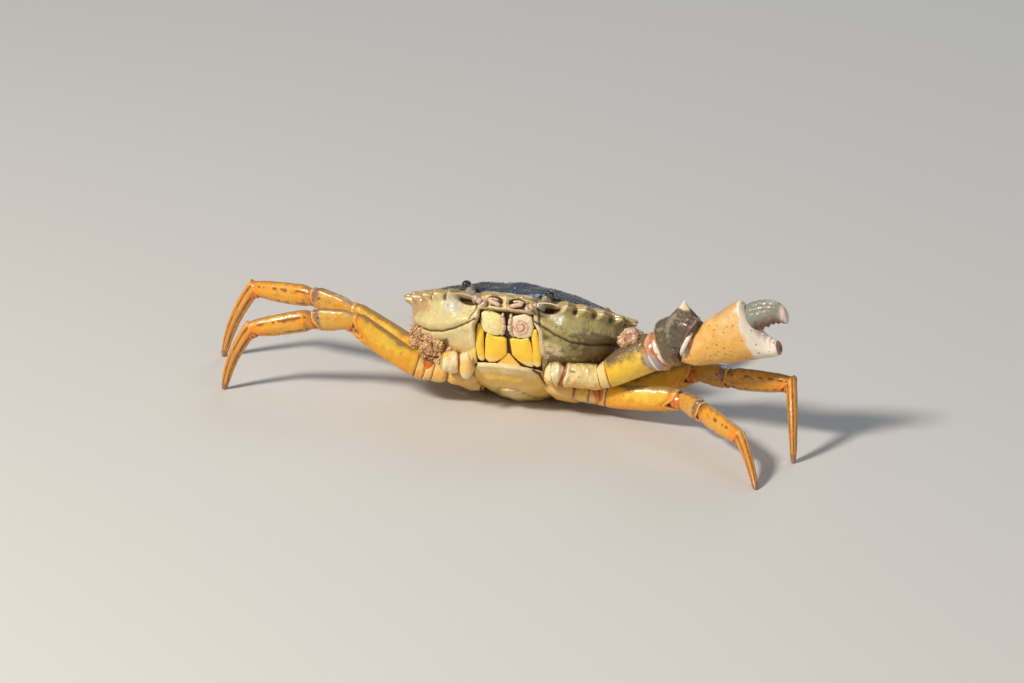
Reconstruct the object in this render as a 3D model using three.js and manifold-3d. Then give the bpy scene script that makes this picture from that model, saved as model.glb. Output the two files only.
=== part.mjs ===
// Shore crab, Carcinus maenas, life size: an adult squatting with its front raised, its left claw
// held out to the side and its right claw shed, so that only the stump shows.
// Millimetres, +Z up, the crab faces -Y and its left is +X. The floor it rests on is z = 0.
//
// The body is drawn in the crab's own frame: x to its left, y back from the tip of the brow, z up
// through the back. Limbs are drawn in the floor's frame, each segment by a heading and a lift.

import * as THREE from 'three';
import { mergeVertices } from 'three/addons/utils/BufferGeometryUtils.js';
import Module from 'manifold-3d';

const wasm = await Module();
wasm.setup();

// ---- Driving dimensions ----

const HALF_WIDTH = 31; // midline to the tip of the last side tooth
const SHELL_LENGTH = 46.5; // brow to the rear margin
const BODY_PITCH = THREE.MathUtils.degToRad(32); // nose up
const BROW_HEIGHT = 33.5; // tip of the brow above the floor
const STANCE_SHIFT = new THREE.Vector2(2.416, -28.034); // puts the origin at the middle of the stance
const GAP = 0.3; // joint line between touching pieces
const FLOOR_SINK = 0.3; // how far a claw tip runs below the floor before it is cut flat

const DOME_CENTRE = new THREE.Vector2(0, 22); // highest point of the back
const DOME_HEIGHT = 7.6;
const REAR_LIFT = 1.5; // the rear margin stands this much above the brow's level
const RIM_THICKNESS = 0.9;
const SHELL_THICKNESS = 1.2;
const TOOTH_START = 0.8; // part of the radius where the side teeth begin to stand out

const BODY_HALF_WIDTH = 28;
const BODY_FRONT = 20.2; // dome centre to the front wall
const BODY_REAR = 23.6; // dome centre to the rear wall
const BODY_DEPTH = 14.3; // rim to the lower edge of the flanks
const KEEL_CENTRE = new THREE.Vector3(0, 24, -8.3); // the breastplate bulges below the flanks
const KEEL_RADII = new THREE.Vector3(13.5, 17.5, 12.2);
const KEEL_POWER = 2.6; // 2 is an ellipsoid, more is boxier
const BREAST_HALF_WIDTH = 10.5;
const FACE_REAR = 13; // the face block ends here and the breastplate begins
const MOUTH_HALF_WIDTH = 8.3;
const MOUTH_TOP = new THREE.Vector3(0, 3.6, -3.8); // outer face of the mouth plates, upper edge
const MOUTH_FOOT = new THREE.Vector3(0, 10.4, -16.0); // and lower edge
const MOUTH_PLATE = 2.2; // thickness of the mouth plates
const MOUTH_BEVEL = 0.35;
const MOUTH_HEIGHT = MOUTH_TOP.distanceTo(MOUTH_FOOT);
const MOUTH_EDGE = MOUTH_HALF_WIDTH - 0.4;
// One mouth plate: x from the midline and y up from its lower edge.
const MOUTH_OUTLINE = [[0.35, 3.2], [2.6, 0.3], [5.6, 0.2], [MOUTH_EDGE, 2.2],
  [MOUTH_EDGE, MOUTH_HEIGHT * 0.7], [6.9, MOUTH_HEIGHT * 0.76], [6.4, MOUTH_HEIGHT - 0.5],
  [5.2, MOUTH_HEIGHT], [1.6, MOUTH_HEIGHT - 0.3], [0.9, MOUTH_HEIGHT * 0.62], [0.35, MOUTH_HEIGHT * 0.5]];
const TAIL_PLATE = 1.7; // thickness of the tail flap folded under the body
// The tail flap seen from below: half width and y, a blunt tip in front, widest at its third ring.
const TAIL_OUTLINE = [[0, 17.5], [2.2, 18.6], [3.6, 23], [4.6, 27.5], [6.6, 31], [7, 37], [6.2, 43],
  [0, 44.5]];
const TAIL_FRONT = 20; // a gap round the flap runs forward of this and back behind it

const EYE_ROOT = new THREE.Vector3(8, 4.6, -1.4);
const EYE_END = new THREE.Vector3(11.5, 3, 2.7);
const EYE_SWAY = -0.6; // both eyes lean this much to the crab's right
const ORBIT_CENTRE = new THREE.Vector3(10.3, 4.4, -0.6);
const ORBIT_RADII = new THREE.Vector3(3.6, 3.6, 2.4);
const EYE = [[0, 1, 1, 1], [0.35, 0.9, 0.9, 0.9], [0.62, 1.25, 1.25, 1.2], [0.8, 1.3, 1.3, 1.2],
  [0.94, 0.85, 0.85, 0.8], [1, 0.3, 0.3, 0.3]];

// Feelers of the left side: the small folded one beside the brow's middle, then the long one.
const ANTENNULE_START = new THREE.Vector3(0.9, 1.3, -2.9);
const ANTENNULE_END = new THREE.Vector3(5, 1.6, -2.2);
const ANTENNULE = [[0, 0.6, 0.6, 0.5], [0.3, 1.1, 1.1, 0.9], [0.7, 1.1, 1.1, 0.9], [1, 0.6, 0.6, 0.5]];
const ANTENNA_ROOT = new THREE.Vector3(5.6, 2.6, -2.6);
const ANTENNA_KNEE = new THREE.Vector3(7.4, 0.9, -1.6);
const ANTENNA_TIP = new THREE.Vector3(14, -0.6, -1.6);
const ANTENNA_BASE = [[0, 0.9, 0.9, 0.9], [0.5, 1, 1, 1], [1, 0.6, 0.6, 0.6]];
const ANTENNA_WHIP = [[0, 0.42, 0.42, 0.42], [0.5, 0.34, 0.34, 0.34], [1, 0.26, 0.26, 0.26]];
const ANTENNA_BOW = 0.8;
const ANTENNA_LAP = 0.35; // part of the base that the whip starts inside

const LEG_SIDES = 10;
const TIP_SIDES = 8;
const WHIP_SIDES = 6;
const WALL_SIDES = 40;
const FAR = 200; // past every side of the crab

// One side of the shell's outline, from the brow round the side teeth to the rear corner.
const BROW_LOBES = [[0, 0], [2.1, 1.2], [4.2, 0.6], [6.5, 1.8]];
const ORBIT_EDGE = [[8.2, 4.8], [10.4, 5.6], [13.2, 4.6]];
const TEETH = [
  { tip: [15.5, 2.2], notch: [17.2, 5.6] },
  { tip: [20, 4.6], notch: [21.5, 8.6] },
  { tip: [24, 8.2], notch: [25.1, 12.4] },
  { tip: [28, 12.4], notch: [28, 16.4] },
  { tip: [HALF_WIDTH, 17], notch: [28.6, 18.8] },
];
const FLANK_EDGE = [[25.8, 23.2], [22.7, 28.6], [19.5, 33.6], [16.6, 38], [14, 41.6], [12, 44.4]];
const REAR_EDGE = [[9.5, 46.2], [5, SHELL_LENGTH], [0, SHELL_LENGTH - 0.3]];

// Sections of a limb segment: part of its length, then dorsal, ventral and side half sizes.
const BASE = [[0, 0.9, 0.9, 0.9], [0.45, 1, 1, 1], [0.58, 0.78, 0.78, 0.82], [0.72, 0.95, 0.95, 0.95],
  [1, 0.85, 0.85, 0.85]];
const MERUS = [[0, 0.7, 0.74, 0.8], [0.14, 0.92, 0.9, 0.95], [0.5, 1, 1, 1], [0.86, 1, 0.96, 1],
  [1, 0.74, 0.74, 0.84]];
const CARPUS = [[0, 0.66, 0.66, 0.75], [0.25, 0.95, 0.8, 0.9], [0.75, 1.05, 0.95, 1], [1, 0.8, 0.8, 0.85]];
const PROPODUS = [[0, 0.72, 0.72, 0.78], [0.2, 1, 0.95, 1], [0.7, 0.9, 0.88, 0.92], [1, 0.66, 0.66, 0.78]];
const DACTYL = [[0, 0.9, 0.9, 0.9], [0.12, 1, 1, 1], [0.4, 0.8, 0.8, 0.85], [0.75, 0.52, 0.52, 0.6],
  [1, 0.3, 0.3, 0.45]];
const SEGMENTS = ['base', 'merus', 'carpus', 'propodus', 'dactyl'];
const SECTIONS = [BASE, MERUS, CARPUS, PROPODUS, DACTYL];
const WALKING_HALVES = [[2.5, 2.3], [3.1, 1.95], [2.8, 1.95], [2.6, 1.7], [1.5, 1.1]];
const HIND_HALVES = [[2.1, 1.9], [2.6, 1.7], [2.3, 1.6], [2.3, 1.3], [1.9, 0.9]];
const DACTYL_BOW = 1.2; // the last segment arches this much above its chord

// Root of each limb in the crab's frame, on its left side, from the claw to the hindmost leg.
const ROOTS = [[10.5, 13.5, -16], [11.5, 19.5, -18], [12, 25.5, -18], [11.5, 31.5, -16.5], [9.5, 37, -13.5]];
const ROOT_OVERRUN = 5; // a limb's base reaches this far inside its root before the body trims it

// Headings run from straight out to the side towards the front, lifts from level upward, both in
// degrees. The last segment has no lift: it comes down to the floor.
const LEGS = [
  { name: 'leg_right_1', side: -1, root: 1, halves: WALKING_HALVES, lengths: [11, 22.5, 10.5, 16.5, 18],
    headings: [14, 11, -4, 5, 14], lifts: [5, 34, -6, -14] },
  { name: 'leg_right_2', side: -1, root: 2, halves: WALKING_HALVES, lengths: [11.5, 24.5, 11.5, 17.5, 21.3],
    headings: [-4, -5, -13, -14, 0], lifts: [22, 24, 8, -4] },
  { name: 'leg_right_3', side: -1, root: 3, halves: WALKING_HALVES, lengths: [11, 22.5, 11, 16.5, 18.5],
    headings: [-32, -54, -74, -98, -125], lifts: [14, 10, -4, -10] },
  { name: 'leg_right_4', side: -1, root: 4, halves: HIND_HALVES, lengths: [9.5, 16.5, 9, 12.5, 14],
    headings: [-54, -70, -82, -94, -98], lifts: [24, 18, -4, -12] },
  { name: 'leg_left_1', side: 1, root: 1, halves: WALKING_HALVES, lengths: [11, 22.5, 10.5, 16.5, 18],
    headings: [-10, 7, 44, 43, 62], lifts: [-10, 6, 1, -4] },
  { name: 'leg_left_2', side: 1, root: 2, halves: WALKING_HALVES, lengths: [11.5, 24.5, 11.5, 17.5, 20.5],
    headings: [-16, -1, 27, 17, 72], lifts: [-6, 22, 7, 7] },
  { name: 'leg_left_3', side: 1, root: 3, halves: WALKING_HALVES, lengths: [11, 22.5, 11, 16.5, 18.5],
    headings: [-32, -50, -66, -80, -86], lifts: [18, 15, -8, -12] },
  { name: 'leg_left_4', side: 1, root: 4, halves: HIND_HALVES, lengths: [9.5, 16.5, 9, 12.5, 14],
    headings: [-60, -84, -100, -112, -116], lifts: [14, 8, -4, -8] },
];

// The claw arm: half sizes in millimetres, since its segments are all unlike.
const ARM_LENGTHS = [13, 18, 11, 17];
const ARM_HEADINGS = [-13, -3, 29, 6];
const ARM_LIFTS = [-3, 30, 26, 20];
const WRIST_PLANE_LIFT = -22; // the wrist's joint line leans far back
const ARM_BASE = [[0, 3, 3, 2.9], [0.4, 3.3, 3.3, 3], [0.52, 2.6, 2.7, 2.5], [0.66, 3.2, 3.2, 2.9],
  [1, 3.3, 3.2, 3]];
const ARM_MERUS = [[0, 2.9, 2.9, 2.7], [0.2, 3.9, 3.7, 3.3], [0.55, 4.9, 4.2, 3.7], [0.85, 5.3, 4.4, 3.9],
  [1, 4.2, 3.9, 3.4]];
const ARM_CARPUS = [[0, 4.4, 3.6, 3.4], [0.25, 7.2, 4.8, 4.8], [0.7, 7.6, 5, 5], [1, 4.6, 4.4, 3.8]];
const PALM_LENGTH = 22.7; // wrist to the blunt end of the fixed finger
const PALM = [[0, 3.6, 4.6, 2.8], [0.16, 4.9, 6.2, 4.2], [0.36, 6.2, 7, 4.7], [0.57, 7.4, 7.5, 4.6],
  [0.71, 8, 7.8, 4.1], [0.745, 0.2, 7.9, 3.4], [0.83, -2.9, 8.1, 2.5], [0.97, -4.6, 8.2, 1.8],
  [1, -5.1, 7.6, 1.2]];
const FINGER_BASE = new THREE.Vector2(17.5, 3.7); // along the palm and above its axis
const FINGER_TIP = new THREE.Vector2(27.2, 1.1);
const FINGER = [[0, 3.3, 3, 2.4], [0.25, 4, 3.4, 2.7], [0.5, 4, 2.5, 2.4], [0.82, 2.9, 1.8, 1.8],
  [1, 1.2, 1, 0.9]];
const SPINE_FOOT = new THREE.Vector3(2.2, -1.4, 4.6); // from the middle of the joint it stands on
const SPINE_RADIUS = 3.3;
const SPINE_LENGTH = 7.2;
const SPINE_TILT = 0.25; // radians, leaning back from upright
const STUMP = [[0, 2.6, 2.6, 2.4], [0.45, 3.1, 3, 2.8], [0.6, 2.5, 2.4, 2.3], [0.78, 2.9, 2.7, 2.6],
  [0.93, 2.2, 2.1, 2], [1, 1, 1, 1]];
const STUMP_HEADING = 24;
const STUMP_LIFT = 6;
const STUMP_REACH = 7.2; // from the limb's root to the scar

const UP = new THREE.Vector3(0, 0, 1);

// ---- Solids ----

// A closed geometry as a solid, and back.
function solid(geometry) {
  const bare = geometry.clone();
  bare.deleteAttribute('normal');
  bare.deleteAttribute('uv');
  const merged = mergeVertices(bare, 1e-4);
  return new wasm.Manifold(new wasm.Mesh({
    numProp: 3,
    vertProperties: new Float32Array(merged.attributes.position.array),
    triVerts: new Uint32Array(merged.index.array),
  }));
}

function geometryOf(shape) {
  const { numProp, vertProperties, triVerts } = shape.getMesh();
  const position = new Float32Array(vertProperties.length / numProp * 3);
  for (let i = 0; i < position.length; i += 1) {
    position[i] = vertProperties[Math.floor(i / 3) * numProp + (i % 3)];
  }
  const geometry = new THREE.BufferGeometry();
  geometry.setAttribute('position', new THREE.BufferAttribute(position, 3));
  geometry.setIndex(new THREE.BufferAttribute(new Uint32Array(triVerts), 1));
  geometry.computeVertexNormals();
  return geometry;
}

function boxSolid(low, high, matrix = new THREE.Matrix4()) {
  const size = new THREE.Vector3().subVectors(high, low);
  const box = new THREE.BoxGeometry(size.x, size.y, size.z);
  box.translate(...new THREE.Vector3().addVectors(low, high).multiplyScalar(0.5));
  return solid(box.applyMatrix4(matrix));
}

// An ellipsoid, or with a power above 2 a boxier one.
function ellipsoidSolid(centre, radii, { around = 14, rows = 8, power = 2 } = {}) {
  const ball = new THREE.SphereGeometry(1, around, rows);
  ball.rotateX(Math.PI / 2);
  const position = ball.attributes.position;
  for (let i = 0; i < position.count; i += 1) {
    const point = new THREE.Vector3().fromBufferAttribute(position, i);
    const norm = Math.abs(point.x) ** power + Math.abs(point.y) ** power + Math.abs(point.z) ** power;
    position.setXYZ(i, ...point.multiplyScalar(norm ** (-1 / power)));
  }
  ball.scale(radii.x, radii.y, radii.z);
  ball.translate(centre.x, centre.y, centre.z);
  return solid(ball);
}

// A bar of oval sections between two points. Its ends lie half a gap from the joint planes, whose
// normals may be given, and bow lifts its middle. Sections: part of the length, top, bottom, side.
function bar({ start, end, sections, scale = [1, 1], startNormal, endNormal, bow = 0, grow = 0, up = UP,
  sides = LEG_SIDES }) {
  const axis = end.clone().sub(start);
  const length = axis.length();
  axis.normalize();
  const top = up.clone().addScaledVector(axis, -axis.dot(up)).normalize();
  const side = axis.clone().cross(top);
  const normals = [startNormal ?? axis, endNormal ?? axis];
  const geometry = new THREE.CylinderGeometry(1, 1, 1, sides, sections.length - 1);
  const position = geometry.attributes.position;
  for (let i = 0; i < position.count; i += 1) {
    const row = Math.round((position.getY(i) + 0.5) * (sections.length - 1));
    const [part, above, below, half] = sections[row];
    const middle = (above - below) / 2 * scale[0] + bow * Math.sin(Math.PI * part);
    const rise = ((above + below) / 2 * scale[0] + grow) * position.getZ(i) + middle;
    const spread = (half * scale[1] + grow) * position.getX(i);
    const across = top.clone().multiplyScalar(rise).addScaledVector(side, spread);
    const trim = normals.map((normal, which) => {
      const inset = (which ? -1 : 1) * (GAP / 2 - grow);
      return (inset - across.dot(normal)) / axis.dot(normal);
    });
    const along = part * length + trim[0] * (1 - part) ** 2 + trim[1] * part ** 2;
    const point = start.clone().addScaledVector(axis, along).add(across);
    position.setXYZ(i, point.x, point.y, point.z);
  }
  return geometry;
}

// A dished body: rings of the same outline from the top pole to the bottom pole.
function dished(outline, rings) {
  const geometry = new THREE.SphereGeometry(1, outline.length, rings.length - 1);
  const position = geometry.attributes.position;
  for (let i = 0; i < position.count; i += 1) {
    const ring = rings[Math.floor(i / (outline.length + 1))];
    const point = ring(outline[i % (outline.length + 1) % outline.length]);
    position.setXYZ(i, point.x, point.y, point.z);
  }
  return geometry;
}

// ---- The body's curves ----

// Distance from the dome's centre to the smooth body wall in one direction: rounded in front,
// straighter behind, where the shell narrows to its rear margin.
function wallRadius(direction) {
  const front = direction.y < 0;
  const power = front ? 2.3 : 1.45;
  const x = Math.abs(direction.x) / BODY_HALF_WIDTH;
  const y = Math.abs(direction.y) / (front ? BODY_FRONT : BODY_REAR);
  return (x ** power + y ** power) ** (-1 / power);
}

function rimHeight(y) {
  return REAR_LIFT * (Math.max(y, 0) / SHELL_LENGTH) ** 1.3;
}

// The shell's outline, anticlockwise seen from above, from the brow round the left side.
function shellOutline() {
  const teeth = TEETH.flatMap(({ tip, notch }, i) => {
    const before = i ? TEETH[i - 1].notch : ORBIT_EDGE.at(-1);
    const shoulder = [(before[0] + tip[0]) / 2 + 0.5, (before[1] + tip[1]) / 2 - 0.3];
    return i ? [shoulder, tip, notch] : [tip, notch];
  });
  const left = [...BROW_LOBES, ...ORBIT_EDGE, ...teeth, ...FLANK_EDGE, ...REAR_EDGE];
  const right = left.slice(1, -1).reverse().map(([x, y]) => [-x, y]);
  return [...left, ...right].map(([x, y]) => new THREE.Vector2(x, y));
}

// A point of the shell's plan: the toothed outline at the rim, the smooth wall further in.
function shellPlan(rim, part) {
  const reach = rim.clone().sub(DOME_CENTRE);
  const smooth = wallRadius(reach.clone().normalize());
  const toothed = THREE.MathUtils.smoothstep(part, TOOTH_START, 1);
  const radius = THREE.MathUtils.lerp(smooth, reach.length(), toothed) * part;
  return reach.setLength(Math.max(radius, 1e-9)).add(DOME_CENTRE);
}

function shellGeometry() {
  const top = (part) => (rim) => {
    const plan = shellPlan(rim, part);
    const z = rimHeight(rim.y) * part ** 2 + DOME_HEIGHT * (1 - part ** 1.6);
    return new THREE.Vector3(plan.x, plan.y, z);
  };
  const under = (part, drop) => (rim) => {
    const plan = shellPlan(rim, part);
    return new THREE.Vector3(plan.x, plan.y, rimHeight(plan.y) - drop);
  };
  const rings = [0, 0.35, 0.65, 0.85, 0.94, 1].map(top);
  return dished(shellOutline(), [...rings, under(0.995, RIM_THICKNESS), under(0.9, SHELL_THICKNESS),
    under(0, SHELL_THICKNESS)]);
}

// The flanks and belly above the breastplate, as one body.
function wallGeometry() {
  const outline = Array.from({ length: WALL_SIDES }, (_, i) => {
    const angle = 2 * Math.PI * i / WALL_SIDES - Math.PI / 2;
    return new THREE.Vector2(Math.cos(angle), Math.sin(angle));
  });
  const ring = (part, height) => (direction) => {
    const plan = direction.clone().multiplyScalar(wallRadius(direction) * part).add(DOME_CENTRE);
    return new THREE.Vector3(plan.x, plan.y, rimHeight(plan.y) - SHELL_THICKNESS - GAP - height);
  };
  const lower = [0, 15, 30, 45, 60, 75, 90].map((degrees) => (direction) => {
    const angle = THREE.MathUtils.degToRad(degrees);
    const power = 2 / (2 + Math.abs(direction.x) / 2);
    const part = Math.max(Math.cos(angle), 0) ** power;
    return ring(part, BODY_DEPTH * Math.sin(angle) ** power)(direction);
  });
  return dished(outline, [ring(0, 0), ring(0.6, 0), ...lower]);
}

// The breastplate's bulge: the lower half of a boxy ellipsoid.
function keelSolid(grow = 0) {
  const radii = KEEL_RADII.clone().addScalar(grow);
  const top = new THREE.Vector3(FAR, FAR, KEEL_CENTRE.z + Math.abs(grow));
  const ball = ellipsoidSolid(KEEL_CENTRE, radii, { around: 24, rows: 12, power: KEEL_POWER });
  return ball.intersect(boxSolid(new THREE.Vector3(-FAR, -FAR, -FAR), top));
}

// ---- Frames ----

const crab = new THREE.Group();
const stance = new THREE.Group();
stance.position.set(STANCE_SHIFT.x, STANCE_SHIFT.y, 0);
const body = new THREE.Group();
body.position.set(0, 0, BROW_HEIGHT);
body.rotation.x = -BODY_PITCH;
body.updateMatrix();
stance.add(body);
crab.add(stance);

const floorLow = new THREE.Vector3(-FAR, -FAR, -FAR);
const floorHigh = new THREE.Vector3(FAR, FAR, 0);
const floor = boxSolid(floorLow, floorHigh);
const floorUnderBody = boxSolid(floorLow, floorHigh, body.matrix.clone().invert());

function addMesh(parent, name, shape, { colour, roughness }) {
  const material = new THREE.MeshStandardMaterial({ color: colour, roughness, metalness: 0 });
  const mesh = new THREE.Mesh(geometryOf(shape), material);
  mesh.name = name;
  parent.add(mesh);
}

// The two halves of the body: 'left' with factor 1, 'right' with factor -1.
const HALVES = [['left', 1], ['right', -1]];

function mirrored(vector, factor) {
  return new THREE.Vector3(vector.x * factor, vector.y, vector.z);
}

const SHELL = { colour: 0x2f3a38, roughness: 0.35 };
const FLANK = { colour: 0xa8a268, roughness: 0.5 };
const FACE = { colour: 0xd9c49a, roughness: 0.5 };
const CORNEA = { colour: 0x241a24, roughness: 0.15 };
const MOUTH = { colour: 0xf0c024, roughness: 0.45 };
const BREAST = { colour: 0xe6d68c, roughness: 0.45 };
const LIMB = { colour: 0xe0962a, roughness: 0.42 };
const LIMB_JOINT = { colour: 0xb08a3c, roughness: 0.45 };
const LIMB_TIP = { colour: 0xb5651d, roughness: 0.4 };
const ARM = { colour: 0x5a5244, roughness: 0.4 };
const PALM_SKIN = { colour: 0xe8b070, roughness: 0.42 };
const FINGER_SKIN = { colour: 0x8c9484, roughness: 0.4 };
const SEGMENT_FINISHES = [LIMB, LIMB, LIMB_JOINT, LIMB, LIMB_TIP];

// ---- Eyes and feelers ----

function eyeSolid(factor, grow = 0) {
  const end = mirrored(EYE_END, factor).add(new THREE.Vector3(EYE_SWAY, 0, 0));
  return solid(bar({ start: mirrored(EYE_ROOT, factor), end, sections: EYE, grow, sides: 12 }));
}

// A small folded feeler beside the middle of the brow.
function antennuleSolid(factor, grow = 0) {
  const start = mirrored(ANTENNULE_START, factor);
  const end = mirrored(ANTENNULE_END, factor);
  return solid(bar({ start, end, sections: ANTENNULE, grow, sides: TIP_SIDES }));
}

// The long feeler: a stout base beside the orbit and a thin whip that lies out below the eye.
function antennaSolid(factor, grow = 0) {
  const root = mirrored(ANTENNA_ROOT, factor);
  const knee = mirrored(ANTENNA_KNEE, factor);
  const end = mirrored(ANTENNA_TIP, factor);
  const start = knee.clone().lerp(root, ANTENNA_LAP);
  const base = solid(bar({ start: root, end: knee, sections: ANTENNA_BASE, grow, sides: TIP_SIDES }));
  const whip = bar({ start, end, sections: ANTENNA_WHIP, bow: ANTENNA_BOW, grow, sides: WHIP_SIDES });
  return base.add(solid(whip));
}

function addSenses() {
  for (const [half, factor] of HALVES) {
    addMesh(body, `eye_${half}`, eyeSolid(factor), CORNEA);
    addMesh(body, `antennule_${half}`, antennuleSolid(factor), FACE);
    addMesh(body, `antenna_${half}`, antennaSolid(factor), FACE);
  }
}

function sensesGrown() {
  return HALVES.flatMap(([, factor]) => [
    eyeSolid(factor, GAP), antennuleSolid(factor, GAP), antennaSolid(factor, GAP),
  ]);
}

// ---- Mouth plates ----

// The plates lie in a leaning plane: this matrix takes x across, y up the plane and z out of it.
function mouthMatrix() {
  const up = MOUTH_TOP.clone().sub(MOUTH_FOOT).normalize();
  const across = new THREE.Vector3(1, 0, 0);
  const out = across.clone().cross(up);
  return new THREE.Matrix4().makeBasis(across, up, out).setPosition(MOUTH_FOOT);
}

// One third maxilliped: the square upper joint, the tapering lower one and the narrow outer branch.
function mouthPlateSolid(factor) {
  const shape = new THREE.Shape(MOUTH_OUTLINE.map(([x, y]) => new THREE.Vector2(x * factor, y)));
  const plate = new THREE.ExtrudeGeometry(shape, {
    depth: MOUTH_PLATE - 2 * MOUTH_BEVEL, bevelThickness: MOUTH_BEVEL, bevelSize: MOUTH_BEVEL,
    bevelOffset: -MOUTH_BEVEL, bevelSegments: 1,
  });
  plate.translate(0, 0, MOUTH_BEVEL - MOUTH_PLATE);
  return solid(plate.applyMatrix4(mouthMatrix()));
}

// The space that the plates stand in, open to the front and a little below them.
function mouthCavity() {
  const low = new THREE.Vector3(-MOUTH_HALF_WIDTH, -5 * GAP, -MOUTH_PLATE - GAP);
  const high = new THREE.Vector3(MOUTH_HALF_WIDTH, MOUTH_HEIGHT + GAP, FAR);
  return boxSolid(low, high, mouthMatrix());
}

// ---- Trunk ----

// The tail flap: what its outline cuts from the breastplate's bulge.
function tailSolid(grow = 0) {
  const left = TAIL_OUTLINE.map(([x, y]) => (
    new THREE.Vector2(x ? x + grow : 0, y < TAIL_FRONT ? y - grow : y + grow)
  ));
  const right = left.slice(1, -1).reverse().map(({ x, y }) => new THREE.Vector2(-x, y));
  const shape = new THREE.Shape([...left, ...right]);
  const prism = new THREE.ExtrudeGeometry(shape, { depth: FAR, bevelEnabled: false });
  prism.translate(0, 0, KEEL_CENTRE.z - FAR);
  const inner = keelSolid(-TAIL_PLATE - grow);
  return solid(prism).subtract(inner);
}

function addTrunk() {
  const wall = solid(wallGeometry());
  const keel = keelSolid();
  const keelGrown = keelSolid(GAP);
  const middle = (front, rear) => boxSolid(new THREE.Vector3(-BREAST_HALF_WIDTH, front, -FAR),
    new THREE.Vector3(BREAST_HALF_WIDTH, rear, FAR));
  const mouth = mouthCavity();
  const feelers = sensesGrown();
  const carve = (shape, tools) => tools.reduce((rest, tool) => rest.subtract(tool), shape);
  const orbits = HALVES.map(([, factor]) => ellipsoidSolid(mirrored(ORBIT_CENTRE, factor), ORBIT_RADII));

  addMesh(body, 'carapace', carve(solid(shellGeometry()), feelers), SHELL);
  addMesh(body, 'face', carve(wall.intersect(middle(-FAR, FACE_REAR)).subtract(keelGrown),
    [mouth, ...orbits, ...feelers]), FACE);
  const breast = wall.intersect(middle(FACE_REAR + GAP, FAR)).add(keel);
  addMesh(body, 'sternum', carve(breast, [mouth, tailSolid(GAP), floorUnderBody]), BREAST);
  addMesh(body, 'abdomen', keel.intersect(tailSolid()).subtract(floorUnderBody), BREAST);
  for (const [half, factor] of HALVES) {
    const inner = (BREAST_HALF_WIDTH + GAP) * factor;
    const outer = FAR * factor;
    const outside = boxSolid(new THREE.Vector3(Math.min(inner, outer), -FAR, -FAR),
      new THREE.Vector3(Math.max(inner, outer), FAR, FAR));
    const flank = carve(wall.intersect(outside), [keelGrown, ...orbits, ...feelers]);
    addMesh(body, `flank_${half}`, flank, FLANK);
    addMesh(body, `maxilliped_${half}`, mouthPlateSolid(factor), MOUTH);
  }
}

// What a limb's base is trimmed against, in the floor's frame: the body and the mouth's space.
function trunkGrown() {
  const wall = wallGeometry();
  const scale = 1 + 2 * GAP / BODY_FRONT;
  wall.translate(-DOME_CENTRE.x, -DOME_CENTRE.y, BODY_DEPTH / 2);
  wall.scale(scale, scale, scale);
  wall.translate(DOME_CENTRE.x, DOME_CENTRE.y, -BODY_DEPTH / 2);
  return solid(wall).add(keelSolid(GAP)).add(mouthCavity()).transform([...body.matrix.elements]);
}

// ---- Limbs ----

function direction(side, headingDegrees, liftDegrees) {
  const heading = THREE.MathUtils.degToRad(headingDegrees);
  const lift = THREE.MathUtils.degToRad(liftDegrees);
  return new THREE.Vector3(side * Math.cos(heading) * Math.cos(lift), -Math.sin(heading) * Math.cos(lift),
    Math.sin(lift));
}

function rootPoint(index, side) {
  const [x, y, z] = ROOTS[index];
  return new THREE.Vector3(x * side, y, z).applyMatrix4(body.matrix);
}

function bisector(a, b) {
  return a.clone().add(b).normalize();
}

const trunk = trunkGrown();

function addLeg({ name, side, root, halves, lengths, headings, lifts }) {
  const joints = [rootPoint(root, side)];
  const directions = lengths.map((length, i) => {
    const last = i === lengths.length - 1;
    const drop = last ? Math.asin((joints[i].z + FLOOR_SINK) / length) : 0;
    const lift = last ? -THREE.MathUtils.radToDeg(drop) : lifts[i];
    const heading = direction(side, headings[i], lift);
    joints.push(joints[i].clone().addScaledVector(heading, length));
    return heading;
  });
  SEGMENTS.forEach((segment, i) => {
    const start = joints[i].clone();
    if (i === 0) start.addScaledVector(directions[0], -ROOT_OVERRUN);
    let shape = solid(bar({
      start,
      end: joints[i + 1],
      sections: SECTIONS[i],
      scale: halves[i],
      startNormal: i ? bisector(directions[i - 1], directions[i]) : undefined,
      endNormal: i < 4 ? bisector(directions[i], directions[i + 1]) : undefined,
      bow: segment === 'dactyl' ? DACTYL_BOW : 0,
      sides: segment === 'dactyl' ? TIP_SIDES : LEG_SIDES,
    }));
    if (segment === 'base') shape = shape.subtract(trunk);
    addMesh(stance, `${name}_${segment}`, shape.subtract(floor), SEGMENT_FINISHES[i]);
  });
}

// The spine on the inner corner of the claw arm's carpus.
function spineSolid(carpusStart, carpusEnd) {
  const foot = carpusStart.clone().lerp(carpusEnd, 0.5).add(SPINE_FOOT);
  const spine = new THREE.ConeGeometry(SPINE_RADIUS, SPINE_LENGTH, TIP_SIDES);
  spine.translate(0, SPINE_LENGTH / 2, 0);
  spine.rotateX(Math.PI / 2 + SPINE_TILT);
  spine.translate(foot.x, foot.y, foot.z);
  return solid(spine);
}

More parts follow.
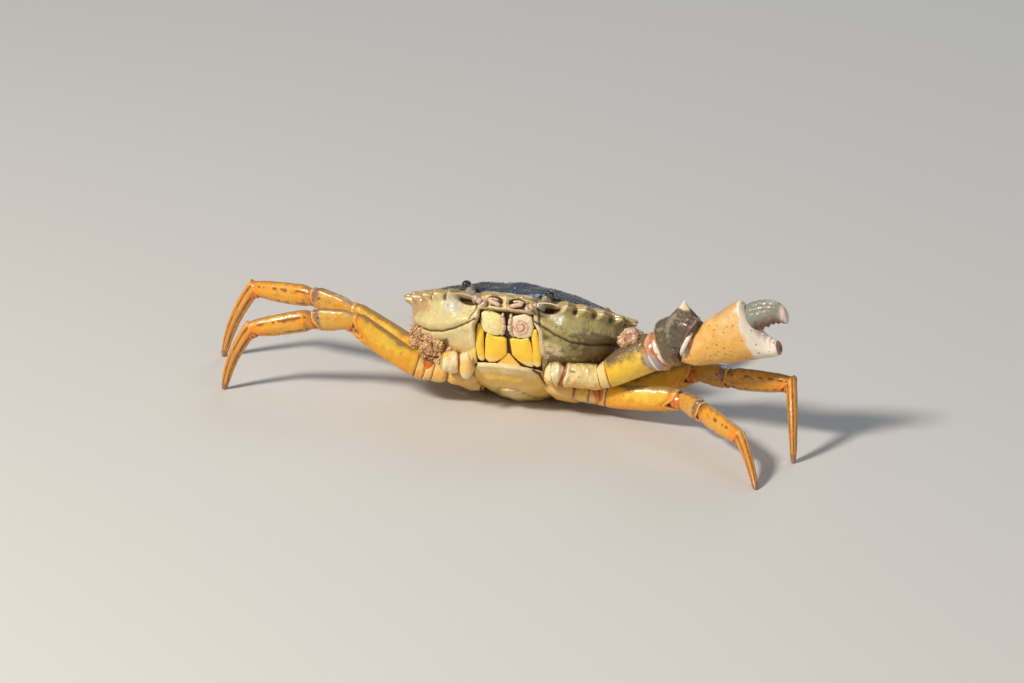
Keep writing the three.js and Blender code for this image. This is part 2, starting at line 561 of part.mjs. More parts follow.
function addArm() {
  const directions = ARM_HEADINGS.map((heading, i) => direction(1, heading, ARM_LIFTS[i]));
  const joints = [rootPoint(0, 1)];
  directions.forEach((way, i) => joints.push(joints[i].clone().addScaledVector(way, ARM_LENGTHS[i])));
  const [shoulder, knee, elbow, wrist] = joints;
  const wristNormal = direction(1, ARM_HEADINGS[3], WRIST_PLANE_LIFT);
  const innerNormal = bisector(directions[0], directions[1]);

  const base = solid(bar({
    start: shoulder.clone().addScaledVector(directions[0], -ROOT_OVERRUN), end: knee, sections: ARM_BASE,
    endNormal: innerNormal,
  }));
  addMesh(stance, 'claw_left_base', base.subtract(trunk), BREAST);
  const merus = solid(bar({
    start: knee, end: elbow, sections: ARM_MERUS, startNormal: innerNormal, endNormal: directions[1],
  }));
  addMesh(stance, 'claw_left_merus', merus.subtract(trunk), LIMB);
  const carpus = solid(bar({
    start: elbow, end: wrist, sections: ARM_CARPUS, startNormal: directions[1], endNormal: wristNormal,
    sides: 14,
  }));
  addMesh(stance, 'claw_left_carpus', carpus.add(spineSolid(elbow, wrist)), ARM);

  const palmAxis = directions[3];
  const palmTop = UP.clone().addScaledVector(palmAxis, -palmAxis.dot(UP)).normalize();
  const palm = bar({
    start: wrist, end: wrist.clone().addScaledVector(palmAxis, PALM_LENGTH), sections: PALM,
    startNormal: wristNormal, sides: 16,
  });
  addMesh(stance, 'claw_left_palm', solid(palm), PALM_SKIN);
  const place = ({ x, y }) => wrist.clone().addScaledVector(palmAxis, x).addScaledVector(palmTop, y);
  const finger = bar({ start: place(FINGER_BASE), end: place(FINGER_TIP), sections: FINGER, sides: 12 });
  addMesh(stance, 'claw_left_dactyl', solid(finger), FINGER_SKIN);
}

// What is left of the right claw: its first joint and the scarred knob where it was shed.
function addStump() {
  const out = direction(-1, STUMP_HEADING, STUMP_LIFT);
  const root = rootPoint(0, -1);
  const stump = solid(bar({
    start: root.clone().addScaledVector(out, -ROOT_OVERRUN),
    end: root.clone().addScaledVector(out, STUMP_REACH),
    sections: STUMP,
    sides: 12,
  }));
  addMesh(stance, 'claw_right_stump', stump.subtract(trunk), BREAST);
}

addTrunk();
addSenses();
addArm();
addStump();
LEGS.forEach(addLeg);

export default crab;
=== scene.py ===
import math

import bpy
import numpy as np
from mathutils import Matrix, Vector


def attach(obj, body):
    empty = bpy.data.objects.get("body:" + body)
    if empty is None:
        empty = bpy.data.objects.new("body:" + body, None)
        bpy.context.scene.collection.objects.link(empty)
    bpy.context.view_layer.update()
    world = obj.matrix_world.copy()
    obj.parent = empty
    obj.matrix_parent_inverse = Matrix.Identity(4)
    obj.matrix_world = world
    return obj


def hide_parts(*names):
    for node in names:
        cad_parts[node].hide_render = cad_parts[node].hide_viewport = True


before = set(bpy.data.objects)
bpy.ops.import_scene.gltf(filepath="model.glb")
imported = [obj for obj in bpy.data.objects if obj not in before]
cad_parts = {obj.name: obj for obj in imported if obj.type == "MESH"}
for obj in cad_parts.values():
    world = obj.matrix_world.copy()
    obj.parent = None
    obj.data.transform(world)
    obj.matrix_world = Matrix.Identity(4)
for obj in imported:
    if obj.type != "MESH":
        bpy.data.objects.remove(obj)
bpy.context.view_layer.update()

# Shore crab, life size, as a museum model: the finished look of every plate, joint and feeler.
# Shapes are worked out in millimetres, in the same space as the CAD parts; MM makes them metres.
# Two frames are used. The body is drawn in the crab's own frame: x to its left, y back from the tip
# of the brow, z up through the back. Limbs are drawn in the floor's frame.

MM = 0.001

# ---- Driving dimensions, the same as the CAD part's ----

HALF_WIDTH = 31
SHELL_LENGTH = 46.5
BODY_PITCH = math.radians(32)
BROW_HEIGHT = 33.5
STANCE_SHIFT = np.array([2.416, -28.034, 0])
GAP = 0.3
FLOOR_SINK = 0.3

DOME_CENTRE = np.array([0, 22.0])
DOME_HEIGHT = 7.6
REAR_LIFT = 1.5
SHELL_EDGE = 0.45  # thickness of the shell at its rim
TOOTH_START = 0.8
SHARP = 0.34  # how far the shell's corners are rounded in front, and behind
SOFT = 2.2
WALL_ROUNDING = 2.4  # the same for the body wall under the teeth, and for a mouth plate
PLATE_ROUNDING = 0.22

BODY_HALF_WIDTH = 28
BODY_FRONT = 20.2
BODY_REAR = 23.6
BODY_DEPTH = 14.3
WALL_TOP = 1.5  # the body wall starts this far below the rim
KEEL_CENTRE = np.array([0, 24.0, -8.3])
KEEL_RADII = np.array([13.5, 17.5, 12.2])
KEEL_POWER = 2.6
MOUTH_HALF_WIDTH = 8.3
MOUTH_TOP = np.array([0, 3.6, -3.8])
MOUTH_FOOT = np.array([0, 10.4, -16.0])
MOUTH_LEAN = 0.08
MOUTH_NARROWING = 1.25  # how much less the mouth's half width is at its top
TAIL_HALF = [[17.5, 0], [18.6, 2.2], [23, 3.6], [27.5, 4.6], [31, 6.6], [37, 7], [41, 6.4]]

EYE_ROOT = np.array([8, 4.6, -1.4])
EYE_END = np.array([11.5, 3, 2.7])
EYE_SWAY = -0.6
ORBIT_CENTRE = np.array([10.3, 4.4, -0.6])
ORBIT_RADII = np.array([3.6, 3.6, 2.4])
FEELER_PIT_CENTRE = np.array([2.9, 0.9, -1.75])
FEELER_PIT_RADII = np.array([2.3, 1.7, 1.35])

BROW_LOBES = [[0, 0], [2.1, 1.2], [4.2, 0.6], [6.5, 1.8]]
ORBIT_EDGE = [[8.2, 4.8], [10.4, 5.6], [13.2, 4.6]]
TEETH = [
    ((15.5, 2.2), (17.2, 5.6)),
    ((20, 4.6), (21.5, 8.6)),
    ((24, 8.2), (25.1, 12.4)),
    ((28, 12.4), (28, 16.4)),
    ((HALF_WIDTH, 17), (28.6, 18.8)),
]
FLANK_EDGE = [[25.8, 23.2], [22.7, 28.6], [19.5, 33.6], [16.6, 38], [14, 41.6], [12, 44.4]]
REAR_EDGE = [[9.5, 46.2], [5, SHELL_LENGTH], [0, SHELL_LENGTH - 0.3]]

# Sections of a limb segment: part of its length, then dorsal, ventral and side half sizes. A row of
# three leaves out the ventral one, and a row of two is round.
BASE = [[0, 0.4], [0.14, 0.86], [0.45, 1], [0.58, 0.78, 0.82], [0.72, 0.95], [1, 0.85]]
MERUS = [[0, 0.7, 0.74, 0.8], [0.14, 0.92, 0.9, 0.95], [0.5, 1], [0.86, 1, 0.96, 1], [1, 0.74, 0.84]]
CARPUS = [[0, 0.66, 0.75], [0.25, 0.95, 0.8, 0.9], [0.75, 1.05, 0.95, 1], [1, 0.8, 0.85]]
PROPODUS = [[0, 0.72, 0.78], [0.2, 1, 0.95, 1], [0.7, 0.9, 0.88, 0.92], [1, 0.66, 0.78]]
DACTYL = [[0, 1.1], [0.12, 1.25, 1.2], [0.4, 1.1], [0.75, 0.84, 0.85], [0.93, 0.6, 0.65], [1, 0.3, 0.4]]
SEGMENTS = ["base", "merus", "carpus", "propodus", "dactyl"]
SECTIONS = [BASE, MERUS, CARPUS, PROPODUS, DACTYL]
WALKING_HALVES = [[2.5, 2.3], [3.2, 2.0], [2.95, 2.0], [2.85, 1.85], [1.5, 1.1]]
HIND_HALVES = [[2.1, 1.9], [2.6, 1.7], [2.3, 1.6], [2.3, 1.3], [1.9, 0.9]]
DACTYL_BOW = 1.2
ROOTS = [[10.5, 13.5, -16], [11.5, 19.5, -18], [12, 25.5, -18], [11.5, 31.5, -16.5], [9.5, 37, -13.5]]
ROOT_SHOWN = 3.2  # how far a limb's skin starts inside the body
NECK = -0.8  # how far a segment reaches into the cup of the one before

# A slot name for each leg segment, and the bay in its far rim: depth, middle and half width.
LEG_SLOTS = {"base": "leg", "merus": "leg", "carpus": "leg_joint", "propodus": "leg", "dactyl": "leg_tip"}
LEG_BAYS = {"merus": (3.2, math.pi * 0.68, 0.6), "carpus": (1.4, math.pi * 0.75, 0.6),
            "propodus": (1.2, math.pi * 0.8, 0.6)}
NO_BAY = (0, 0, 1)

# name, side, root, half sizes, lengths, headings and lifts of the segments, as in the CAD part
LEGS = [
    ("leg_right_1", -1, 1, WALKING_HALVES, [11, 22.5, 10.5, 16.5, 18], [14, 11, -4, 5, 14], [5, 34, -6, -14]),
    ("leg_right_2", -1, 2, WALKING_HALVES, [11.5, 24.5, 11.5, 17.5, 21.3], [-4, -5, -13, -14, 0],
     [22, 24, 8, -4]),
    ("leg_right_3", -1, 3, WALKING_HALVES, [11, 22.5, 11, 16.5, 18.5], [-32, -54, -74, -98, -125],
     [14, 10, -4, -10]),
    ("leg_right_4", -1, 4, HIND_HALVES, [9.5, 16.5, 9, 12.5, 14], [-54, -70, -82, -94, -98],
     [24, 18, -4, -12]),
    ("leg_left_1", 1, 1, WALKING_HALVES, [11, 22.5, 10.5, 16.5, 18], [-10, 7, 44, 43, 62], [-10, 6, 1, -4]),
    ("leg_left_2", 1, 2, WALKING_HALVES, [11.5, 24.5, 11.5, 17.5, 20.5], [-16, -1, 27, 17, 72],
     [-6, 22, 7, 7]),
    ("leg_left_3", 1, 3, WALKING_HALVES, [11, 22.5, 11, 16.5, 18.5], [-32, -50, -66, -80, -86],
     [18, 15, -8, -12]),
    ("leg_left_4", 1, 4, HIND_HALVES, [9.5, 16.5, 9, 12.5, 14], [-60, -84, -100, -112, -116],
     [14, 8, -4, -8]),
]

ARM_LENGTHS = [13, 18, 11, 17]
ARM_HEADINGS = [-13, -3, 29, 6]
ARM_LIFTS = [-3, 30, 26, 20]
WRIST_PLANE_LIFT = -22
ARM_BASE = [[0, 1.6, 1.8, 1.6], [0.08, 2.9, 3.0, 2.8], [0.24, 3.4, 3.3, 3.1], [0.32, 2.7, 2.6],
            [0.42, 3.2, 3.1, 2.9], [1, 3.3, 3.2, 3]]
ARM_BASE_SHOWN = 0.8
ARM_MERUS = [[0, 2.9, 2.7], [0.2, 3.9, 3.7, 3.3], [0.55, 4.9, 4.2, 3.7], [0.85, 5.3, 4.4, 3.9],
             [1, 4.2, 3.9, 3.4]]
ARM_CARPUS = [[0, 4.4, 3.6, 3.4], [0.25, 7.2, 4.8, 4.8], [0.7, 7.6, 5, 5], [1, 4.6, 4.4, 3.8]]
PALM_LENGTH = 22.7
PALM = [[0, 3.6, 4.6, 2.8], [0.16, 4.9, 6.2, 4.2], [0.36, 6.3, 7, 4.7], [0.54, 7.4, 7.5, 4.6],
        [0.62, 7.7, 7.6, 4.4], [0.67, 7.35, 7.7, 4.3], [0.72, 6.2, 7.8, 4.0], [0.78, 3.2, 7.9, 3.5],
        [0.86, -1.8, 8.0, 2.8], [0.93, -3.6, 8.1, 2.4], [0.985, -4.3, 7.9, 2.0], [1, -4.9, 7.3, 1.4]]
FINGER_BASE = np.array([17.5, 3.7])
FINGER_TIP = np.array([27.2, 1.1])
FINGER = [[0, 2.9, 3.2, 2.4], [0.14, 3.4, 4.2, 2.8], [0.3, 3.7, 3.5, 2.8], [0.5, 3.9, 2.4, 2.5],
          [0.75, 3.5, 1.7, 2.0], [0.9, 2.5, 1.9, 1.5], [0.97, 1.4, 1.9, 1.1], [1, 0.5, 1.4, 0.7]]
SPINE_FOOT = np.array([2.4, -1.6, 2.2])  # from the middle of the joint it stands on
SPINE_LENGTH = 11.6
STUMP = [[0, 1.4], [0.12, 2.6, 2.5], [0.34, 3.0, 2.8, 2.7], [0.46, 2.3, 2.2],
         [0.6, 2.9, 2.6, 2.6], [0.85, 2.7, 2.3, 2.4], [0.95, 1.9, 1.8, 1.8], [1, 0.9]]
STUMP_LENGTH = 9.4
STUMP_REACH = 7.2  # from the limb's root to the scar
LEAF_FOOT = np.array([0.6, -3.4, -2.9])  # the leaf-shaped plate in front of the stump
LEAF_REACH = np.array([0.3, -0.2, 7.6])
LEAF = [[0, 0.3, 0.5], [0.1, 0.8, 1.2], [0.32, 1.15, 1.7], [0.6, 1.0, 1.4], [0.85, 0.6, 0.7], [1, 0.12, 0.14]]
ELBOW_SKIN = (4.75, 4.35)  # half sizes of the arm's soft joint skins
WRIST_SKIN = (4.5, 3.8)
WHIP_THICKNESS = 0.3
WHIP_RINGS = 96

# How many columns go round each big surface.
SHELL_COLUMNS = 880
WALL_COLUMNS = 720
KEEL_COLUMNS = 420
TAIL_COLUMNS = 56
PLATE_COLUMNS = 120
LOWEST = 0.02  # the height above the floor that no vertex goes under

UP = np.array([0, 0, 1.0])
HALVES = [("left", 1), ("right", -1)]

# ---- The camera, the light and the floor ----

VIEW_AZIMUTH = math.radians(15)
VIEW_ELEVATION = math.radians(20)
VIEW_ROLL = math.radians(1.3)
VIEW_DISTANCE = 1.42
LENS = 200
AIM_RIGHT = 1.5  # the view's middle, from the tip of the brow
AIM_UP = -11.75
LIT_POINT = Vector((0, 0, 0.02))  # where every light is turned to, in metres
# name, place in metres, size, power and colour
LIGHTS = [
    ("key_light", (-0.55, -0.72, 0.8), 0.22, 15, (1, 0.94, 0.85)),
    ("fill_light", (0.9, -0.6, 0.5), 0.9, 2.0, (0.9, 0.95, 1)),
    ("back_light", (0.1, 0.9, 0.7), 0.6, 2.4, (0.66, 0.8, 1)),
]
SKY_COLOUR = (0.86, 0.88, 0.9, 1)
SKY_STRENGTH = 0.22
FLOOR_HALF = 3.0  # metres
FLOOR_COLOUR = (0.62, 0.6, 0.57, 1)
FLOOR_ROUGHNESS = 0.75


def new_object(name, data):
    thing = bpy.data.objects.new(name, data)
    bpy.context.scene.collection.objects.link(thing)
    return thing


def set_camera():
    a, e, roll = VIEW_AZIMUTH, VIEW_ELEVATION, VIEW_ROLL
    back = Vector((math.sin(a) * math.cos(e), -math.cos(a) * math.cos(e), math.sin(e)))
    level = Vector((math.cos(a), math.sin(a), 0))
    upright = back.cross(level)
    right = level * math.cos(roll) + upright * math.sin(roll)
    up = upright * math.cos(roll) - level * math.sin(roll)
    brow = Vector(STANCE_SHIFT + UP * BROW_HEIGHT)
    aim = (brow + right * AIM_RIGHT + up * AIM_UP) * MM
    data = bpy.data.cameras.new("camera")
    data.lens = LENS
    data.sensor_width = 36
    data.clip_start = 0.05
    camera = new_object("camera", data)
    turn = Matrix((right, up, back)).transposed().to_4x4()
    camera.matrix_world = Matrix.Translation(aim + back * VIEW_DISTANCE) @ turn
    bpy.context.scene.camera = camera


def area_light(name, place, size, power, colour):
    data = bpy.data.lights.new(name, "AREA")
    data.shape = "DISK"
    data.size = size
    data.energy = power
    data.color = colour
    light = new_object(name, data)
    light.location = place
    light.rotation_euler = (LIT_POINT - Vector(place)).to_track_quat("-Z", "Y").to_euler()


def set_light():
    for light in LIGHTS:
        area_light(*light)
    world = bpy.data.worlds.new("studio")
    world.use_nodes = True
    sky = world.node_tree.nodes["Background"].inputs
    sky["Color"].default_value = SKY_COLOUR
    sky["Strength"].default_value = SKY_STRENGTH
    bpy.context.scene.world = world
    bpy.context.scene.view_settings.view_transform = "Standard"


# ---- Small sums ----


def unit(vector):
    vector = np.asarray(vector, float)
    return vector / np.linalg.norm(vector, axis=-1, keepdims=True)


def ease(low, high, value):
    """0 below low, 1 above high, smooth between."""
    part = np.clip((value - low) / (high - low), 0, 1)
    return part * part * (3 - 2 * part)


def hump(value, centre, width):
    return np.exp(-(((value - centre) / width) ** 2))


def ring_line(turn, centre, width):
    """A hump along a line of a limb, where turn goes round from its top to its front."""
    away = np.angle(np.exp(1j * (turn - centre)))
    return np.exp(-((away / width) ** 2))


def full_turn(columns):
    """Even angles round a circle, as a row."""
    return np.linspace(0, 2 * math.pi, columns, endpoint=False)[None]


def blend(low, high, part):
    return low + (high - low) * part


def noise(points, cell, seed=0):
    """Smooth noise from -1 to 1, with features about one cell wide."""
    place = np.asarray(points, float) / cell
    corner = np.floor(place).astype(np.int64)
    inside = place - corner
    inside = inside * inside * (3 - 2 * inside)
    total = np.zeros(place.shape[:-1])
    primes = np.array([374761393, 668265263, 974634777])
    for step in np.ndindex(2, 2, 2):
        step = np.array(step)
        weight = np.prod(np.where(step, inside, 1 - inside), axis=-1)
        mixed = ((corner + step) * primes).sum(-1) + seed * 1274126177
        mixed = (mixed ^ (mixed >> 13)) * 1274126177
        mixed = mixed ^ (mixed >> 16)
        total = total + weight * ((mixed & 0xFFFF) / 32767.5 - 1)
    return total


def rough(points, cell, seed=0):
    """Noise with finer noise on it."""
    return noise(points, cell, seed) * 0.6 + noise(points, cell / 2.3, seed + 1) * 0.3 \
        + noise(points, cell / 5.1, seed + 2) * 0.15


def reach(points, path):
    """Distance from each point to a broken line."""
    points = np.asarray(points, float)
    path = np.asarray(path, float)
    nearest = np.full(points.shape[:-1], 1e9)
    for a, b in zip(path[:-1], path[1:]):
        along = b - a
        part = np.clip(((points - a) @ along) / (along @ along), 0, 1)
        away = np.linalg.norm(points - a - part[..., None] * along, axis=-1)
        nearest = np.minimum(nearest, away)
    return nearest


def profile(table, part):
    """Smooth curves through rows of (part, value, value, ...), which never overshoot."""
    table = np.array(table, float)
    place, value = table[:, 0], table[:, 1:]
    slope = np.diff(value, axis=0) / np.diff(place)[:, None]
    tangent = np.zeros_like(value)
    product = slope[:-1] * slope[1:]
    total = np.where(product > 0, slope[:-1] + slope[1:], 1)
    tangent[1:-1] = np.where(product > 0, 2 * product / total, 0)
    tangent[0], tangent[-1] = slope[0], slope[-1]
    k = np.clip(np.searchsorted(place, part, side="right") - 1, 0, len(place) - 2)
    step = (place[k + 1] - place[k])[..., None]
    t = (part[..., None] - place[k][..., None]) / step
    return (
        (1 + 2 * t) * (1 - t) ** 2 * value[k]
        + t * (1 - t) ** 2 * step * tangent[k]
        + t * t * (3 - 2 * t) * value[k + 1]
        + t * t * (t - 1) * step * tangent[k + 1]
    )


def full_sections(rows):
    """Rows of (part, dorsal, ventral, side), with the sizes that a shorter row leaves out."""
    return [row if len(row) == 4 else [row[0], row[1], row[1], row[-1]] for row in rows]


def as_points(plan, height=0):
    """Places of a plan, as points at a height."""
    return np.concatenate([plan, np.broadcast_to(height, plan.shape[:-1])[..., None]], -1)


def mirrored(points, factor):
    """Places given for the left half, taken to the right half where the factor is -1."""
    return np.asarray(points, float) * np.array([factor, 1, 1])


def to_floor_frame(points):
    """From the crab's own frame to the floor's: pitched nose up, and moved to where it stands."""
    x, y, z = np.moveaxis(np.asarray(points, float), -1, 0)
    c, s = math.cos(BODY_PITCH), math.sin(BODY_PITCH)
    moved = np.stack([x, y * c + z * s, BROW_HEIGHT - y * s + z * c], -1)
    return moved + STANCE_SHIFT


def direction(side, heading, lift):
    h, v = math.radians(heading), math.radians(lift)
    return np.array([side * math.cos(h) * math.cos(v), -math.sin(h) * math.cos(v), math.sin(v)])


# ---- Skins: grids of vertices that carry what the materials read ----

# What a vertex tells its material, each from 0 to 1: seams are grooves, and also painted shade in the
# body wall's pits, mouth space and notches, the breastplate's mouth space and the finger's troughs;
# ridges are worn crests, and also painted highlights on the breastplate's top band, the finger's ribs
# and the crusty tuft; dorsal is the dark upper side, and on the body wall a darker left half; tip the
# far zone, blush a warmer zone, stain a dirty one, which on the shell is a painted blue sky reflection
# and on the body wall's lower left partly a painted shade; granule is where small beads stand on the
# surface, rust a brown edge, and bristle where hairs grow.
MARKS = ("seam_and_shade", "ridge_and_highlight", "dorsal", "tip", "blush", "stain_and_painted_light", "rust", "granule", "bristle")


class Skin:
    """Closed surfaces, all in millimetres. The flow is each vertex's place on the straightened part."""

    def __init__(self):
        self.points, self.flow, self.faces = [], [], []
        self.marks = {mark: [] for mark in MARKS}
        self.count = 0

    def add(self, points, faces, flow, marks):
        points = np.asarray(points, float).reshape(-1, 3)
        shape = (len(points),)
        faces = [np.asarray(kind, int) for kind in faces]
        if enclosed(points, faces) < 0:
            faces = [kind[:, ::-1] for kind in faces]
        self.points.append(points)
        self.flow.append(np.asarray(flow, float).reshape(-1, 3))
        self.faces.extend(kind + self.count for kind in faces)
        for mark in MARKS:
            value = np.asarray(marks.get(mark, 0.0), float)
            self.marks[mark].append(np.broadcast_to(value.reshape(-1) if value.size > 1 else value, shape))
        self.count += len(points)
        return self

    def pitched(self):
        """The same skin, taken from the crab's own frame to the floor's."""
        self.points = [to_floor_frame(points) for points in self.points]
        return self


def enclosed(points, faces):
    """Six times the volume inside, below zero where the faces point inwards."""
    total = 0
    for kind in faces:
        for i in range(1, kind.shape[1] - 1):
            a, b, c = points[kind[:, 0]], points[kind[:, i]], points[kind[:, i + 1]]
            total += np.einsum("ij,ij->", a, np.cross(b, c))
    return total


def wrapped(skin, points, flow, marks, dish=(0, 0)):
    """Adds a tube of rows and columns, each end drawn in to a closed, dished lip."""
    rows, columns = points.shape[:2]
    marks = {k: np.broadcast_to(np.asarray(v, float), (rows, columns)) for k, v in marks.items()}
    marks.setdefault("seam_and_shade", np.zeros((rows, columns)))
    ends = []
    for which, inner in ((0, 1), (-1, -2)):
        middle = points[which].mean(0)
        inward = unit(points[inner].mean(0) - middle)
        depth = dish[which]
        steps = ((0.86, 0), (0.72, depth * 0.5), (0.3, depth)) if depth else ((0.5, 0),)
        lip = [middle + (points[which] - middle) * part + inward * sink for part, sink in steps]
        ends.append((lip, middle + inward * depth, depth))
    first, last = ends
    grid = np.concatenate([np.array(first[0][::-1]), points, np.array(last[0])])
    before, after = len(first[0]), len(last[0])
    pad = [np.repeat(flow[:1], before, 0), flow, np.repeat(flow[-1:], after, 0)]
    all_flow = np.concatenate(pad)
    total = len(grid)
    spread = {}
    for mark, value in marks.items():
        head, foot = value[:1], value[-1:]
        if mark == "seam_and_shade":
            head = head * 0 + (1 if first[2] else 0) + head * (0 if first[2] else 1)
            foot = foot * 0 + (1 if last[2] else 0) + foot * (0 if last[2] else 1)
        body = [np.repeat(head, before, 0), value, np.repeat(foot, after, 0)]
        flat = np.concatenate(body).reshape(-1)
        spread[mark] = np.concatenate([flat, [head.mean(), foot.mean()]])
    poles = np.array([first[1], last[1]])
    pole_flow = np.array([all_flow[0].mean(0), all_flow[-1].mean(0)])
    index = np.arange(total * columns).reshape(total, columns)
    after_column = np.roll(index, -1, axis=1)
    quads = np.stack([index[:-1], after_column[:-1], after_column[1:], index[1:]], -1).reshape(-1, 4)
    start_pole, end_pole = total * columns, total * columns + 1
    cap_a = np.stack([after_column[0], index[0], np.full(columns, start_pole)], -1)
    cap_b = np.stack([index[-1], after_column[-1], np.full(columns, end_pole)], -1)
    every = np.concatenate([grid.reshape(-1, 3), poles])
    every_flow = np.concatenate([all_flow.reshape(-1, 3), pole_flow])
    return skin.add(every, [quads, np.concatenate([cap_a, cap_b])], every_flow, spread)


def add_piece(name, skin, material, slot, *nodes):
    """A kept mesh of a skin, standing on the floor, with its marks and flow as attributes."""
    points = np.concatenate(skin.points)
    points[:, 2] = np.maximum(points[:, 2], LOWEST)
    mesh = bpy.data.meshes.new(name)
    faces = [face for kind in skin.faces for face in kind.tolist()]
    mesh.from_pydata(points * MM, [], faces)
    for mark in MARKS:
        layer = mesh.attributes.new(mark, "FLOAT", "POINT")
        layer.data.foreach_set("value", np.concatenate(skin.marks[mark]).astype(np.float32))
    flow = mesh.attributes.new("flow", "FLOAT_VECTOR", "POINT")
    flow.data.foreach_set("vector", (np.concatenate(skin.flow) * MM).astype(np.float32).ravel())
    mesh.materials.append(material)
    mesh.shade_smooth()
    return keep(new_object(name, mesh), slot, *nodes)


def keep(piece, slot, *nodes):
    """Rides on the one body and stands for the named nodes, which it hides. The slot is not used."""
    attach(piece, "root")
    if nodes:
        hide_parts(*nodes)
    return piece


# ---- The body's curves ----


def wall_radius(way):
    front = way[..., 1] < 0
    power = np.where(front, 2.3, 1.45)
    x = np.abs(way[..., 0]) / BODY_HALF_WIDTH
    y = np.abs(way[..., 1]) / np.where(front, BODY_FRONT, BODY_REAR)
    return (x ** power + y ** power) ** (-1 / power)


def rim_height(y):
    return REAR_LIFT * (np.maximum(y, 0) / SHELL_LENGTH) ** 1.3


def shell_outline(count):
    """The toothed outline in plan, as a closed line of places at even steps."""
    left = BROW_LOBES + ORBIT_EDGE
    for i, (tip, notch) in enumerate(TEETH):
        if i:
            before = TEETH[i - 1][1]
            left = left + [[(before[0] + tip[0]) / 2 + 0.5, (before[1] + tip[1]) / 2 - 0.3]]
        left = left + [list(tip), list(notch)]
    left = left + FLANK_EDGE + REAR_EDGE
    right = [[-x, y] for x, y in left[1:-1][::-1]]
    line, step = even_steps(left + right, count)
    sharp, soft = soften(line, SHARP / step), soften(line, SOFT / step)
    behind = ease(20, 26, line[:, 1])[:, None]
    return sharp * (1 - behind) + soft * behind


def even_steps(corners, count):
    """Places at even steps round a closed line, and the length of a step."""
    corners = np.array([*corners, corners[0]], float)
    travelled = np.concatenate([[0], np.cumsum(np.linalg.norm(np.diff(corners, axis=0), axis=1))])
    fine = np.linspace(0, travelled[-1], count, endpoint=False)
    line = np.stack([np.interp(fine, travelled, corners[:, i]) for i in range(2)], -1)
    return line, travelled[-1] / count


def soften(line, width):
    """Rounds a closed line's corners with a bell curve, by way of its frequencies."""
    count = len(line)
    frequency = np.fft.fftfreq(count)
    bell = np.exp(-2 * (math.pi * frequency * width) ** 2)
    return np.real(np.fft.ifft(np.fft.fft(line, axis=0) * bell[:, None], axis=0))


def shell_plan(rim, part):
    """Plan of the shell: the toothed outline at the rim, the smooth wall further in."""
    out = rim - DOME_CENTRE
    length = np.linalg.norm(out, axis=-1, keepdims=True)
    way = out / length
    toothed = ease(TOOTH_START, 1, part)
    radius = blend(wall_radius(way)[..., None], length, toothed[..., None]) * part[..., None]
    return way * radius + DOME_CENTRE


# Grooves of the back, drawn on its left half: the neck groove, the heart's outline and the gills'.
BACK_GROOVES = [
    ([(1.2, 20.5), (4.2, 21.5), (6.5, 19), (9.5, 17.2), (14, 16.4), (18.5, 14), (23, 11.5)], 0.5, 0.75),
    ([(4.2, 21.5), (3.8, 25), (5.4, 28.5), (5.6, 32.5), (3.8, 36.5), (2.2, 41)], 0.42, 0.7),
    ([(2.4, 9.5), (3.4, 13.5), (5.2, 17.5), (4.2, 21.5)], 0.26, 0.6),
    ([(0, 1.4), (0, 8.8)], 0.32, 0.6),
    ([(5.6, 30), (10, 29), (14.5, 30.5), (18, 33)], 0.2, 0.9),
    ([(9, 6.4), (9.6, 10.5), (12.5, 13.5)], 0.2, 0.7),
]
# Swellings of the back: x, y, half width and height.
BACK_SWELLINGS = [(4.2, 5, 2.4, 0.42), (9.5, 12, 3.8, 0.5), (0, 15, 3.2, 0.5), (14.5, 22.5, 4.8, 0.55),
                  (0, 31, 3.4, 0.6), (12, 33, 4, 0.35), (17.5, 11, 3, 0.35), (21, 18, 3, 0.3)]


def back_relief(plan):
    """Height of the back's grooves and swellings, and how deep in a groove each place is."""
    folded = np.stack([np.abs(plan[..., 0]), plan[..., 1]], -1)
    height = np.zeros(plan.shape[:-1])
    groove = np.zeros(plan.shape[:-1])
    for path, depth, width in BACK_GROOVES:
        line = hump(reach(folded, path), 0, width)
        height = height - depth * line
        groove = np.maximum(groove, line * depth / 0.5)
    for x, y, width, rise in BACK_SWELLINGS:
        away = np.hypot(folded[..., 0] - x, folded[..., 1] - y)
        height = height + rise * hump(away, 0, width)
    return height, groove


